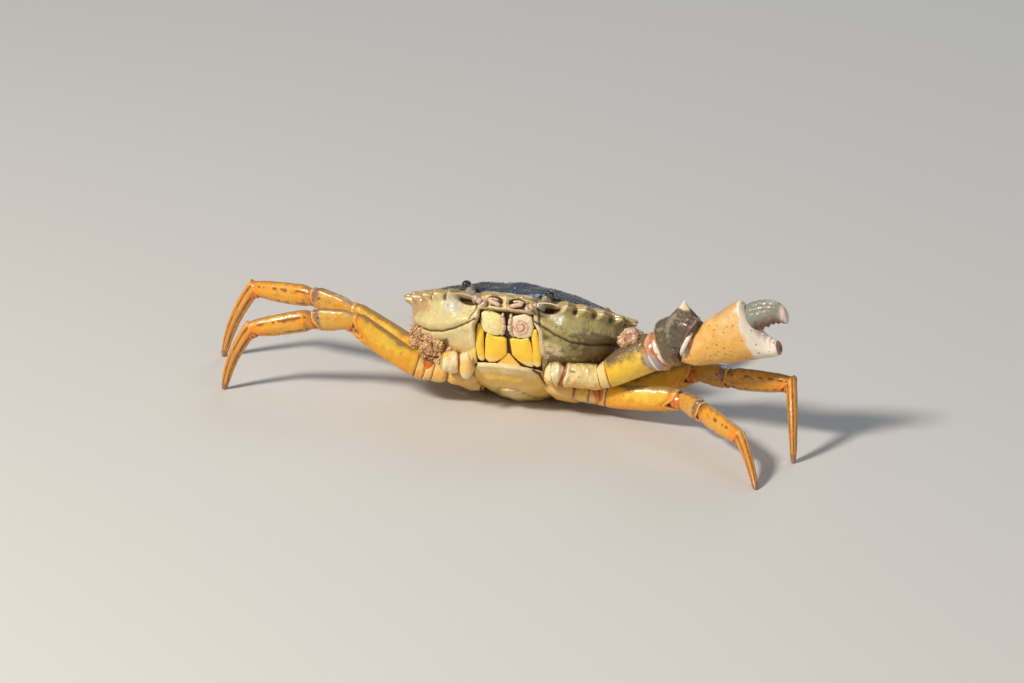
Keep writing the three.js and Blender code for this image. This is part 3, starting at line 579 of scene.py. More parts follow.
def carapace_skin():
    rim = shell_outline(SHELL_COLUMNS)[None]
    top_parts = np.concatenate([np.linspace(0.015, 0.78, 42), np.linspace(0.79, 0.995, 34)])[:, None]
    part = np.broadcast_to(top_parts, (len(top_parts), SHELL_COLUMNS))
    plan = shell_plan(np.broadcast_to(rim, part.shape + (2,)), part)
    height = rim_height(rim[..., 1]) * part ** 2 + DOME_HEIGHT * (1 - part ** 1.6)
    relief, groove = back_relief(plan)
    inner = 1 - ease(0.9, 0.985, part)
    side = ease(3, 16, np.abs(plan[..., 0])) * ease(30, 16, plan[..., 1])
    edge = hump(part, 0.965, 0.02)
    beads = noise(as_points(plan), 0.55, 3)
    lumps = rough(as_points(plan), 2.4, 9)
    height = height + relief * inner + 0.3 * edge * (1 - 0.4 * side)
    height = height + 0.09 * lumps * inner + 0.05 * np.maximum(beads, 0) * (0.3 + side)
    under = []
    for share, drop in ((1.0, SHELL_EDGE * 0.45), (0.99, SHELL_EDGE), (0.93, 1.0), (0.8, 1.2), (0.3, 1.2)):
        flat = shell_plan(rim, np.full((1, SHELL_COLUMNS), share))
        under.append(as_points(flat, rim_height(flat[..., 1]) - drop))
    points = np.concatenate([as_points(plan, height)] + under)
    pad = np.zeros((len(under), SHELL_COLUMNS))
    along = np.concatenate([part, pad + 1])
    y = points[..., 1]
    marks = {
        "seam_and_shade": np.concatenate([groove * inner, pad]),
        "ridge_and_highlight": np.concatenate([edge * 0.8 * ease(32, 12, plan[..., 1]), pad + 0.8]),
        "tip": ease(0.9, 0.985, along) * ease(30, 18, y),
        "blush": hump(np.hypot(np.abs(points[..., 0]) - 9, y - 30), 0, 9) * 0.7,
        # On the shell these random patches are painted a bluer black: a painted reflection of blue sky.
        "stain_and_painted_light": np.clip(0.5 + rough(points, 7, 21), 0, 1),
        "granule": np.concatenate([(0.1 + 0.9 * side) * (1 - groove * 0.9) * ease(44, 34, plan[..., 1]), pad])
        * (along < 0.99),  # none on the rim itself
    }
    return wrapped(Skin(), to_floor_frame(points), points, marks)


# Lines of the body wall as seen from the front, x to the crab's left and z: the side seam that runs
# back from the mouth, right and left.
SIDE_SEAM = {
    -1: [(-7.6, -6.4), (-10.9, -7.9), (-13.7, -8.9), (-16.9, -9.5), (-21, -9.2), (-26, -7.4)],
    1: [(7.4, -5.4), (10.5, -6.6), (12.8, -7.7), (16.7, -8.8), (20.9, -8.5), (26, -6.6)],
}


# Lines of the wall drawn on its left half: the frame beside the mouth, the floor of the hollow that
# the feelers and eyes stand in, and the crease of the cheek.
MOUTH_FRAME = [(MOUTH_HALF_WIDTH - 0.9, -4.2), (MOUTH_HALF_WIDTH - 0.7, -5.6), (MOUTH_HALF_WIDTH + 0.5, -8),
               (MOUTH_HALF_WIDTH + 0.7, -14)]
HOLLOW_FLOOR = [(6.6, -1.6), (7.4, -2.6), (9.5, -3.1), (12, -2.9), (14, -2.0), (15.2, -0.8)]
CHEEK_CREASE = [(7.9, -2.4), (8.4, -4.2), (9.2, -6.4)]


def dent(points, centre, radii, soft=0.25):
    """Pushes a front-facing wall back to the rear half of an egg-shaped pit. Gives the depth too."""
    x = (points[..., 0] - centre[0]) / radii[0]
    z = (points[..., 2] - centre[2]) / radii[2]
    inside = np.clip(1 - x * x - z * z, 0, 1)
    back = centre[1] + radii[1] * np.sqrt(inside)
    part = ease(0, soft, inside)
    moved = points.copy()
    moved[..., 1] = blend(points[..., 1], np.maximum(points[..., 1], back), part)
    return moved, part


def mouth_plane(z):
    """How far back the mouth plates' outer face is at a height."""
    part = (z - MOUTH_TOP[2]) / (MOUTH_FOOT[2] - MOUTH_TOP[2])
    return blend(MOUTH_TOP[1], MOUTH_FOOT[1], part)


def mouth_lean(z):
    """The mouth leans a little to the left on its way down."""
    return MOUTH_LEAN * (MOUTH_TOP[2] - z)


def open_mouth(points, depth, foot=MOUTH_FOOT[2]):
    """Sinks the space that the mouth plates stand in, narrower at its top."""
    z = points[..., 2]
    half_width = MOUTH_HALF_WIDTH - MOUTH_NARROWING * ease(-8.2, -5.2, z)
    x = np.abs(points[..., 0] - mouth_lean(z))
    across = ease(half_width + 0.25, half_width - 0.2, x)
    down = ease(MOUTH_TOP[2] + 0.55, MOUTH_TOP[2] - 0.05, z) * ease(foot - 0.5, foot, z)
    part = across * down
    moved = points.copy()
    behind = np.maximum(points[..., 1], mouth_plane(z) + depth)
    moved[..., 1] = blend(points[..., 1], behind, part)
    return moved, part


def outline_radius(line, angle):
    """How far a closed outline is from the dome's centre, in each direction."""
    out = line - DOME_CENTRE
    around = np.arctan2(out[:, 1], out[:, 0]) % (2 * math.pi)
    order = np.argsort(around)
    length = np.linalg.norm(out, axis=1)[order]
    return np.interp(angle % (2 * math.pi), around[order], length, period=2 * math.pi)


def wall_skin():
    """The whole body wall, from under the toothed rim down to the roots of the legs."""
    turn = np.linspace(-1, 1, WALL_COLUMNS, endpoint=False)
    angle = (turn - 0.5 - 0.13 * np.sin(math.pi * turn)) * math.pi
    way = np.stack([np.cos(angle), np.sin(angle)], -1)[None]
    rim = shell_outline(4000)
    spacing = np.linalg.norm(rim - np.roll(rim, 1, 0), axis=1).mean()
    toothed = outline_radius(rim, angle)[None]
    broad = outline_radius(soften(rim, WALL_ROUNDING / spacing), angle)[None]
    drop = np.concatenate([np.linspace(0, 4, 20), np.linspace(4.5, 20, 30), np.linspace(20.8, 72, 56),
                           np.linspace(74, 89, 8)])[:, None]
    power = 2 / (2 + np.abs(way[..., 0]) / 2)
    share = np.cos(np.radians(drop)) ** power
    below = BODY_DEPTH * np.sin(np.radians(drop)) ** power
    smooth = wall_radius(way)
    radius = smooth * share + (broad * 0.96 - smooth) * ease(22, 1, drop)
    radius = radius + (toothed * 0.985 - broad * 0.96) * ease(4.6, 0.5, drop)
    lift = (WALL_TOP - SHELL_EDGE) * ease(10, 0, drop)
    plan = way * radius[..., None] + DOME_CENTRE
    z = rim_height(plan[..., 1]) - WALL_TOP + lift - below
    points = as_points(plan, z)
    lid_parts = np.array([0.3, 0.8, 0.97])[:, None, None]
    lid = as_points((plan[:1] - DOME_CENTRE) * lid_parts + DOME_CENTRE, z[0] - 0.3)
    shown = np.concatenate([np.zeros(len(lid)), np.ones(len(points))])
    return dress_wall(np.concatenate([lid, points]), shown, ease(0.1, 0.8, broad - toothed))


def dress_wall(points, shown, notch):
    """Cuts the wall's pits and seams, swells its plates and marks its colours."""
    flow = points.copy()
    x, y, z = np.moveaxis(points, -1, 0)
    front = ease(24, 19, y) * shown[:, None]
    seam_and_shade = np.zeros(x.shape)
    swell = np.zeros(x.shape)
    seen = np.stack([x, z], -1)
    for side, path in SIDE_SEAM.items():
        here = ease(-0.5, 0.5, x * side)
        gap = reach(seen, path)
        seam_and_shade = np.maximum(seam_and_shade, hump(gap, 0, 0.24) * here)
        swell = swell + here * (0.45 * hump(gap, 1.2, 1.0) - 0.55 * hump(gap, 0, 0.3))
    beside_mouth = np.stack([np.abs(x - mouth_lean(z)), z], -1)
    rim_gap = reach(beside_mouth, MOUTH_FRAME)
    swell = swell + 0.4 * hump(rim_gap, 0.2, 0.45)
    folded = np.stack([np.abs(x), z], -1)
    floor_gap = reach(folded, HOLLOW_FLOOR)
    swell = swell + 0.4 * hump(floor_gap, 0, 0.4)
    cheek_gap = reach(folded, CHEEK_CREASE)
    seam_and_shade = np.maximum(seam_and_shade, 0.9 * hump(cheek_gap, 0, 0.2))
    swell = swell - 0.3 * hump(cheek_gap, 0, 0.3)
    septum = hump(np.abs(x), 0, 0.5) * hump(z, -1.8, 1.2)
    beam = hump(z, -3.5, 0.45) * ease(7.2, 6, np.abs(x))
    swell = swell + 0.6 * septum + 0.6 * beam
    swell = swell + 0.12 * rough(points, 1.8, 5) + 0.05 * noise(points, 0.55, 8)
    tip_level = rim_height(y) - z
    # Under each notch between the teeth the wall creases in; its dark colour through the seam mark is painted
    # shade in the notch.
    crease = notch * hump(tip_level, 1.2, 1.2)
    swell = swell - 0.5 * crease + 0.25 * (1 - notch) * hump(tip_level, 1.6, 0.9)
    out = unit(np.stack([x, (y - DOME_CENTRE[1]) * 1.3, z * 0.6 + 4], -1))
    points = points + out * (swell * front)[..., None]
    hole = np.zeros(x.shape)
    for side in (1, -1):
        for centre, radii in ((ORBIT_CENTRE, ORBIT_RADII * 0.9), (FEELER_PIT_CENTRE, FEELER_PIT_RADII)):
            points, part = dent(points, mirrored(centre, side), radii)
            hole = np.maximum(hole, part)
    points, mouth = open_mouth(points, 1.5)
    mottle = np.clip(0.3 + 0.8 * rough(flow, 1.7, 77), 0, 1)
    low_left = ease(3, 12, x) * ease(-4.4, -7.5, z)
    edge = hump(tip_level, SHELL_EDGE + 0.1, 0.55)
    ragged = z + 0.7 * rough(flow, 1.3, 12) - 0.05 * (x - 8)
    ahead = ease(27, 22, y)
    under = ease(-12.3, -13.4, ragged) * ease(8.8, 9.8, np.abs(x)) * ahead
    corner = ease(-9.6, -10.6, ragged) * ease(13.6, 15, -x + 0.6 * (z + 10)) * ahead
    under = np.maximum(under, corner)
    fringe = np.maximum(under, ease(15, 19, x) * hump(z, -10.6, 1.6) * ahead) * shown[:, None]
    marks = {
        # Grooves and seams, and also painted shade: dark in the eye and feeler pits, in the mouth's sunk
        # space and in the creases under the notches.
        "seam_and_shade": np.maximum(np.maximum(seam_and_shade, mouth), np.maximum(0.85 * hole, 0.7 * crease)) * front,
        "ridge_and_highlight": (edge * 0.9 + 0.8 * hump(floor_gap, 0, 0.45) + 0.8 * hump(rim_gap, 0.2, 0.4)) * front,
        # Darker olive over the crab's left half of the body wall.
        "dorsal": ease(-2, 6, x),
        "tip": hump(np.hypot(x + 14.2, (z + 3.2) * 1.3), 0, 3.2)
        + 0.6 * hump(np.hypot(x - 12.6, z + 3.2), 0, 2.6),
        "blush": np.maximum(ease(-8, -10, z + 0.06 * np.abs(x)) * ease(18, 11, np.abs(x)),
                            np.maximum(beam, septum)),
        # Darker low on the crab's left: mottled patches, and a painted shade in the lowest corner of that
        # flank; also darker towards the rear, and a dark ragged band along the bottom edge beside the leg
        # roots, where the bristles grow.
        "stain_and_painted_light": np.maximum(low_left * mottle + ease(15, 22, x) * ease(-3.5, -7, z), ease(22, 27, y) * 0.8)
        + under,
        "rust": (ease(19, 24, -x) + 0.6 * edge) * ease(-7, -3, z) * front,
        "granule": 0.9 * hump(tip_level, 1.0, 0.9) * ease(14, 17, np.abs(x)) * front,
        "bristle": fringe,
    }
    return wrapped(Skin(), to_floor_frame(points), flow, marks)


def keel_points(psi, slope):
    """Points of the breastplate's bulge: psi round it from the left, slope down from its brim."""
    way = np.stack([np.cos(psi) * np.cos(slope), np.sin(psi) * np.cos(slope),
                    -np.sin(slope) * np.ones_like(psi)], -1)
    size = (np.abs(way) ** KEEL_POWER).sum(-1) ** (1 / KEEL_POWER)
    return KEEL_CENTRE + way / size[..., None] * KEEL_RADII


# Joint lines of the breastplate, drawn on its left half in plan.
BREAST_LINES = [
    [(7.4, 11), (8.8, 13), (9.5, 18), (9.6, 24)],
    [(9.3, 16.4), (11.5, 15), (13.4, 14.8)],
    [(6.4, 24.6), (9.6, 22.6), (13.4, 21.6)],
    [(6.6, 29.4), (9.6, 28.2), (13.6, 28)],
    [(7.4, 34), (10, 33.8), (13.4, 34)],
]


def sternum_skin():
    slope = np.concatenate([np.linspace(0, 1.45, 120), [1.52]])[:, None]
    psi, slope = np.broadcast_arrays(full_turn(KEEL_COLUMNS), slope)
    points = keel_points(psi, slope)
    flow = points.copy()
    x, y, z = np.moveaxis(flow, -1, 0)
    folded = np.stack([np.abs(x), y], -1)
    low = ease(-10, -12.5, z)
    groove = np.zeros(psi.shape)
    for path in BREAST_LINES:
        groove = np.maximum(groove, hump(reach(folded, path), 0, 0.26))
    groove = groove * low
    tail = reach(folded, [(half + 0.3, y_tail) for y_tail, half in TAIL_HALF])
    beside = ease(0.9, 0.2, tail) * low
    brow = hump(z, -16.6, 0.5) * ease(9, 6, np.abs(x))
    step = hump(z, -18.4, 0.5) * ease(9, 6, np.abs(x))
    swell = 0.35 * brow - 0.3 * step - 0.6 * groove - 0.1 * beside + 0.22 * rough(points, 3.2, 41) * low
    points = points + unit(points - KEEL_CENTRE) * swell[..., None]
    wedge = ease(0, 1, (z + 12.6) * -1 - np.abs(x - mouth_lean(z)) * 0.9 + 0.6)
    points, mouth = open_mouth(points, blend(3.1, 0.4, wedge), foot=MOUTH_FOOT[2] + 0.5)
    marks = {
        # Joint lines, the mouth's sunk space painted dark as a painted shade, and a faint line beside the
        # tail flap.
        "seam_and_shade": np.maximum(np.maximum(groove, mouth * (1 - wedge)), beside * 0.15),
        # The raised band along the top is painted paler: a painted highlight.
        "ridge_and_highlight": brow * 0.8,
        "blush": hump(z + 19.1, 0, 1.1) * ease(12, 8, np.abs(x)) + mouth * wedge
        + 0.5 * hump(np.abs(x) - 9, 0, 2),
        "stain_and_painted_light": ease(22, 34, y) * 0.7 + 0.25 * hump(tail, 0, 1.0),
    }
    return wrapped(Skin(), to_floor_frame(points), flow, marks)


TAIL_RINGS = [18.9, 21.4, 24.2, 27.6, 31.2, 35.6]  # joint lines across the tail flap
TAIL_PROUD = 0.35


def tail_skin():
    """The tail flap, folded forward under the breastplate in its groove."""
    lengths = np.concatenate([np.linspace(17.5, 19, 16), np.linspace(19.2, 41, 120)])
    half = profile([[y, x] for y, x in TAIL_HALF], lengths)[:, 0][:, None]
    across = np.linspace(-1, 1, TAIL_COLUMNS)[None]
    edge = 1 - np.abs(across) ** 6
    x, y = np.broadcast_arrays(across * np.maximum(half, 0.05), lengths[:, None])

    def belly(x, y, proud):
        inside = 1 - (np.abs(x) / KEEL_RADII[0]) ** KEEL_POWER \
            - (np.abs(y - KEEL_CENTRE[1]) / KEEL_RADII[1]) ** KEEL_POWER
        return KEEL_CENTRE[2] - KEEL_RADII[2] * np.clip(inside, 0, 1) ** (1 / KEEL_POWER) - proud

    ring = np.zeros(x.shape)
    for place in TAIL_RINGS:
        ring = np.maximum(ring, hump(y - place - 0.06 * x * x / 4, 0, 0.17))
    crown = 0.35 * np.maximum(0, 1 - (np.abs(x) / 2.1) ** 2)
    proud = (TAIL_PROUD + crown - 0.3 * ring + 0.05 * noise(np.stack([x, y, x * 0], -1), 1.2, 5)) * edge
    outer = np.stack([x, y, belly(x, y, proud)], -1)
    inner = np.stack([x * 0.98, y, belly(x * 0.98, y, -1.0)], -1)[:, ::-1]
    points = np.concatenate([outer, inner], 1)
    inside = np.zeros(x.shape)
    marks = {
        "seam_and_shade": np.concatenate([np.maximum(ring, 0.25 * (1 - edge)), inside + 1], 1),
        "ridge_and_highlight": np.concatenate([hump(np.abs(x), 0, 0.8) * 0.5, inside], 1),
        "blush": np.concatenate([hump(np.abs(x), 3, 1.5) * 0.5, inside], 1),
    }
    return wrapped(Skin(), to_floor_frame(points), points, marks)


# ---- Bars: limb segments, joint skins and feelers ----


def bar(skin, start, end, sections, scale=(1, 1), start_normal=None, end_normal=None, bow=0, up=UP,
        side=1, rows=60, columns=44, relief=None, dish=(1.2, 1.2), notch=NO_BAY,
        insets=(GAP / 2, GAP / 2)):
    """A segment between two points, with the frame's sections made smooth.

    relief(part, turn, place) gives how far the surface stands out and its marks; turn goes round
    from the top through the front to the bottom. notch is the depth, middle and half width of a
    bay cut in the far rim."""
    start, end = np.asarray(start, float), np.asarray(end, float)
    length = np.linalg.norm(end - start)
    axis = (end - start) / length
    top = unit(up - axis * (axis @ up))
    front = np.cross(axis, top) * side
    part = np.linspace(0, 1, rows)[:, None]
    turn = full_turn(columns)
    above, below, half = profile(full_sections(sections), part[:, 0]).T[:, :, None]
    flat = np.broadcast_arrays(part * length, (above + below) / 2 * np.cos(turn) * scale[0],
                               half * np.sin(turn) * scale[1])
    place = np.stack(flat, -1)
    grow, marks = relief(part, turn, place) if relief else (0, {})
    rise = ((above + below) / 2 * scale[0] + grow) * np.cos(turn)
    rise = rise + (above - below) / 2 * scale[0] + bow * np.sin(math.pi * part)
    spread = (half * scale[1] + grow) * np.sin(turn)
    across = rise[..., None] * top + spread[..., None] * front
    first = axis if start_normal is None else start_normal
    last = axis if end_normal is None else end_normal
    near = (insets[0] - across @ first) / (axis @ first)
    bay = notch[0] * ring_line(turn, notch[1], notch[2])
    far = (-insets[1] - across @ last) / (axis @ last) - bay
    along = part * length + near * (1 - part) ** 2 + far * part ** 2
    points = start + along[..., None] * axis + across
    flow = np.stack([np.broadcast_to(along, rise.shape), rise, spread], -1)
    return wrapped(skin, points, flow, marks, dish)


def joint_ball(skin, joint, before, after, radius, length=2.4, side=1):
    """The soft skin inside a joint: a wrinkled, slightly swollen sleeve."""
    def folds(part, turn, place):
        fold = np.sin(part * 17 + np.cos(turn) * 1.4 + noise(place, 1.5, 8))
        return 0.08 * fold + 0.2 * rough(place, 1.1, 3), {
            "seam_and_shade": np.clip(-fold, 0, 1) * 0.55, "ridge_and_highlight": np.clip(fold, 0, 1) * 0.5,
            "stain_and_painted_light": 1.3 * ring_line(turn, 2.1, 0.6) * ease(0.75, 0.45, part)}
    sections = [[0, 0.85], [0.5, 1.08], [1, 0.85]]
    bar(skin, joint - before * length, joint + after * length, sections, radius, rows=30, columns=32,
        relief=folds, dish=(0.4, 0.4), side=side, insets=(0, 0))


def leg_relief(segment, seed):
    """The ridges, grooves and colour marks of one kind of leg segment."""
    def base(part, turn, place):
        joint = hump(part, 0.58, 0.025)
        second = hump(part, 0.86, 0.02)
        grow = -0.3 * joint - 0.16 * second + 0.12 * hump(part, 0.66, 0.03) + 0.05 * rough(place, 1.6, seed)
        return grow, {"seam_and_shade": joint + 0.8 * second, "ridge_and_highlight": hump(part, 0.98, 0.03) * 0.6,
                      "tip": 1 + 0 * part}

    def merus(part, turn, place):
        suture = hump(part - 0.012 * np.cos(turn), 0.105, 0.011)
        rim = hump(part, 0.972, 0.02)
        neck = hump(part, 0.925, 0.02)
        crest = ring_line(turn, 0, 0.28) * ease(0.02, 0.2, part)
        flat = ring_line(turn, math.pi / 2, 0.7) + ring_line(turn, -math.pi / 2, 0.7)
        grow = -0.22 * suture + 0.2 * rim - 0.1 * neck + 0.2 * crest - 0.1 * flat
        grow = grow + 0.12 * rough(place, 2.2, seed) + 0.03 * noise(place, 0.7, seed + 2)
        dark = 1.15 * ring_line(turn, -0.05, 0.75) * ease(0.05, 0.4, part)
        return grow, {"seam_and_shade": suture + neck * 0.35, "ridge_and_highlight": rim * 0.8 + crest * 0.25, "dorsal": dark,
                      "tip": ease(0.16, 0.08, part),
                      "blush": ring_line(turn, 2.3, 0.9) * 0.9 + ease(0.8, 0.97, part),
                      "stain_and_painted_light": 0.5 * ease(0.84, 0.97, part) + 0.35 * (rough(place, 1.6, seed + 4) > 0.35)}

    def carpus(part, turn, place):
        ribs = ring_line(turn, 0.55, 0.2) + ring_line(turn, -0.55, 0.2)
        trough = ring_line(turn, 0, 0.22) + 0.7 * ring_line(turn, 1.4, 0.3)
        rim = hump(part, 0.965, 0.028)
        grow = 0.2 * ribs * ease(0.05, 0.3, part) - 0.12 * trough + 0.22 * rim - 0.12 * hump(part, 0.9, 0.03)
        grow = grow + 0.12 * rough(place, 1.6, seed) + 0.03 * noise(place, 0.6, seed + 2)
        return grow, {"seam_and_shade": 0.3 * trough + 0.3 * hump(part, 0.9, 0.03), "ridge_and_highlight": 0.4 * ribs + 0.7 * rim,
                      "dorsal": 0.8 * ring_line(turn, -0.1, 0.9), "blush": ring_line(turn, math.pi, 1),
                      "stain_and_painted_light": hump(part, 0.86, 0.1) * (0.4 + 0.6 * ring_line(turn, 0.8, 1.2))}

    def propodus(part, turn, place):
        trough = ring_line(turn, 1.25, 0.2) + ring_line(turn, -1.25, 0.2)
        crest = ring_line(turn, 0, 0.3) + ring_line(turn, math.pi, 0.3)
        rim = hump(part, 0.97, 0.02)
        neck = hump(part, 0.03, 0.03)
        grow = -0.12 * trough * ease(0, 0.15, part) * ease(1, 0.86, part) + 0.12 * crest + 0.18 * rim
        grow = grow - 0.1 * neck + 0.11 * rough(place, 1.8, seed) + 0.03 * noise(place, 0.6, seed + 2)
        dashes = np.clip(2.4 * noise(place * np.array([1, 0, 0]), 0.7, seed), 0, 1)
        row = ring_line(turn, 1.0, 0.13) + ring_line(turn, 2.3, 0.1)
        return grow, {"seam_and_shade": 0.22 * trough + dashes * row, "ridge_and_highlight": 0.35 * crest + 0.6 * rim,
                      "dorsal": ring_line(turn, -0.1, 0.7), "blush": ease(0.72, 0.98, part),
                      "stain_and_painted_light": 0.5 * hump(part, 0.1, 0.1)
                      + 0.5 * ease(0.2, 1.2, rough(place, 2.4, seed + 5) * 2)}

    def dactyl(part, turn, place):
        groove = 0.5 + 0.5 * np.cos(turn * 6)
        swell = 0.5 * (1 - part)
        grow = (0.1 - 0.26 * groove ** 1.5) * (0.25 + swell) + 0.06 * noise(place, 0.9, seed)
        grow = grow + 0.12 * hump(part, 0.03, 0.03)
        horn = ease(0.86, 0.93, part)
        return grow * (1 - horn * 0.7), {"seam_and_shade": groove ** 2 * 0.75 * (1 - horn),
                                         "ridge_and_highlight": (1 - groove) * 0.45 + 0.6 * hump(part, 0.02, 0.03),
                                         "tip": horn, "blush": ease(0.7, 0.1, part),
                                         "dorsal": ring_line(turn, 0, 0.8)}

    return {"base": base, "merus": merus, "carpus": carpus, "propodus": propodus, "dactyl": dactyl}[segment]


def root_point(index, side):
    return to_floor_frame(mirrored(ROOTS[index], side))


def leg_joints(side, root, lengths, headings, lifts):
    """The joints of a leg, from its root to the floor, and the way each segment points."""
    joints, ways = [root_point(root, side)], []
    for i, length in enumerate(lengths):
        last = i == len(lengths) - 1
        lift = -math.degrees(math.asin((joints[i][2] + FLOOR_SINK) / length)) if last else lifts[i]
        ways.append(direction(side, headings[i], lift))
        joints.append(joints[i] + ways[i] * length)
    return joints, ways


def end_halves(index, row, halves):
    """Half height and half width of a segment at its first row or its last."""
    return np.multiply(halves[index], full_sections(SECTIONS[index])[row][1::2])


def add_leg(finishes, name, side, root, halves, lengths, headings, lifts):
    joints, ways = leg_joints(side, root, lengths, headings, lifts)
    seed = sum(ord(letter) for letter in name)
    for i, segment in enumerate(SEGMENTS):
        start = joints[i] - (ways[0] * ROOT_SHOWN if i == 0 else 0)
        dactyl = segment == "dactyl"
        skin = bar(Skin(), start, joints[i + 1], SECTIONS[i], halves[i],
                   unit(ways[i - 1] + ways[i]) if i else None,
                   None if dactyl else unit(ways[i] + ways[i + 1]),
                   bow=DACTYL_BOW if dactyl else 0, side=side, rows=76 if i in (1, 3, 4) else 52, columns=48,
                   relief=leg_relief(segment, seed + i), notch=LEG_BAYS.get(segment, NO_BAY),
                   dish=(0.5, 0 if dactyl else 1.0), insets=(GAP / 2 if i < 2 else NECK, GAP / 2))
        add_piece(f"{name}_{segment}_plate", skin, finishes[segment], LEG_SLOTS[segment],
                  f"{name}_{segment}")
    sleeves = Skin()
    for i in range(1, 5):
        narrow = np.minimum(end_halves(i - 1, -1, halves), end_halves(i, 0, halves))
        joint_ball(sleeves, joints[i], ways[i - 1], ways[i], narrow * 0.95, 3.4 - 0.4 * i, side)
    add_piece(f"{name}_joint_skins", sleeves, finishes["joint_skin"], "leg_joint")


# ---- The claw arm ----


def arm_frame():
    ways = [direction(1, heading, lift) for heading, lift in zip(ARM_HEADINGS, ARM_LIFTS)]
    joints = [root_point(0, 1)]
    for way, length in zip(ways, ARM_LENGTHS):
        joints.append(joints[-1] + way * length)
    return joints, ways, direction(1, ARM_HEADINGS[3], WRIST_PLANE_LIFT)


def arm_base_relief(part, turn, place):
    slant = part - 0.03 * np.cos(turn) - 0.02 * np.sin(2 * turn)
    fold = hump(slant, 0.33, 0.035)
    lines = 0.6 * hump(part + 0.05 * np.sin(turn + 1), 0.16, 0.012)
    creases = hump(part, 0.52, 0.08) * np.clip(noise(place, 0.9, 44) * 2, 0, 1) * ring_line(turn, 0.9, 0.5)
    dimples = np.clip(rough(place, 1.5, 74) * 2 - 0.6, 0, 1) * ring_line(turn, 0.7, 0.8)
    dimples = dimples * ease(0.4, 0.5, part)
    grow = -0.45 * fold - 0.35 * lines - 0.2 * creases + 0.25 * hump(slant, 0.41, 0.03) - 0.25 * dimples
    grow = grow + 0.5 * rough(place, 2.2, 71) + 0.08 * noise(place, 0.6, 72)
    return grow, {"seam_and_shade": lines + 0.8 * creases + 0.5 * hump(slant, 0.37, 0.01) + 0.4 * dimples,
                  "ridge_and_highlight": 0.6 * hump(slant, 0.42, 0.03), "tip": 0.7 * ease(0.7, 0.4, part),
                  "rust": 1.2 * fold, "blush": ring_line(turn, 2.5, 0.9) * 0.8,
                  "stain_and_painted_light": 0.6 * ring_line(turn, 0, 0.7) * dimples}


def arm_merus_relief(part, turn, place):
    suture = hump(part - 0.02 * np.sin(turn), 0.13, 0.012)
    top = ring_line(turn, -0.15, 0.85)
    beads = np.maximum(noise(place, 0.8, 15), 0) * top
    rim = hump(part, 0.972, 0.02)
    crest = ring_line(turn, 0.75, 0.16) + ring_line(turn, 2.5, 0.2)
    grow = -0.26 * suture + 0.25 * rim + 0.18 * crest * ease(0.15, 0.4, part) + 0.2 * beads
    grow = grow + 0.3 * rough(place, 2.2, 4) * top + 0.1 * rough(place, 3, 6)
    dark = 1.15 * ring_line(turn, 0.15, 1.0) * ease(0.1, 0.24, part)
    return grow, {"seam_and_shade": suture + 0.3 * hump(part, 0.93, 0.02), "ridge_and_highlight": 0.5 * rim,
                  "dorsal": np.maximum(dark, 0.75 * ease(0.8, 1.0, part - 0.08 * np.cos(turn + 0.9))),
                  "tip": ease(0.16, 0.1, part), "blush": hump(part, 0.45, 0.3) * ring_line(turn, 1.5, 0.7),
                  "granule": top * ease(0.15, 0.3, part) * ease(0.98, 0.9, part)}


def arm_carpus_relief(part, turn, place):
    beads = np.maximum(noise(place, 0.7, 25), 0)
    crest = ring_line(turn, 0.9, 0.14) * ease(0.1, 0.35, part) * ease(1, 0.85, part)
    rim = hump(part, 0.968, 0.022) + 0.5 * hump(part, 0.03, 0.02)
    hollow = ring_line(turn, 1.6, 0.35) * hump(part, 0.8, 0.2)
    grow = 0.3 * crest + 0.3 * rim - 0.5 * hollow + 0.14 * beads + 0.3 * rough(place, 3, 27)
    return grow, {"seam_and_shade": 0.4 * hollow + 0.3 * hump(part, 0.92, 0.02), "ridge_and_highlight": 0.5 * crest + 0.55 * rim,
                  "dorsal": 0.5 + 0.5 * np.cos(turn - 0.3),
                  "blush": ring_line(turn, math.pi, 0.8)
                  + 0.7 * hump(part, 0.1, 0.16) * ring_line(turn, 1.3, 0.9),
                  "stain_and_painted_light": hollow + ease(0.7, 0.95, part) * ring_line(turn, 1.2, 0.8),
                  "granule": ring_line(turn, 0.7, 0.6) * ease(0.05, 0.2, part) * ease(0.97, 0.85, part)}


def palm_relief(part, turn, place):
    swell = 0.22 * rough(place, 4, 51) + 0.04 * noise(place, 0.9, 52)
    ribs = ring_line(turn, -1.15, 0.12) + ring_line(turn, 0.5, 0.1) * 0.5
    gape = ease(0.74, 0.8, part)
    knuckle = hump(part, 0.69, 0.035) * ring_line(turn, 0.5, 0.9)
    cusps = gape * ring_line(turn, 0, 0.7) * (0.35 * hump(part, 0.87, 0.015) + 0.5 * hump(part, 0.92, 0.014)
                                             + 0.35 * hump(part, 0.96, 0.01))
    dip = hump(part, 0.86, 0.09) * ring_line(turn, 1.35, 0.3)
    grow = swell * (1 - gape) + 0.1 * ribs * (1 - gape) + 0.35 * knuckle + cusps - 0.3 * dip
    white = ease(0.655, 0.75, part + 0.05 * np.cos(turn) + 0.03 * noise(place, 2.2, 53))
    return grow, {"seam_and_shade": 0.5 * hump(part, 0.02, 0.02), "ridge_and_highlight": 0.6 * hump(part, 0.03, 0.02) + 0.3 * knuckle,
                  "tip": white, "blush": ring_line(turn, 2.4, 1.1) * (1 - white),
                  "dorsal": ring_line(turn, 0, 0.9) * ease(0.1, 0.45, part) * (1 - 0.6 * white),
                  "stain_and_painted_light": ease(0.975, 0.995, part), "rust": 0.5 * dip * noise(place, 1.5, 54),
                  "granule": ring_line(turn, -0.2, 0.5) * ease(0.5, 0.2, part) * 0.5}


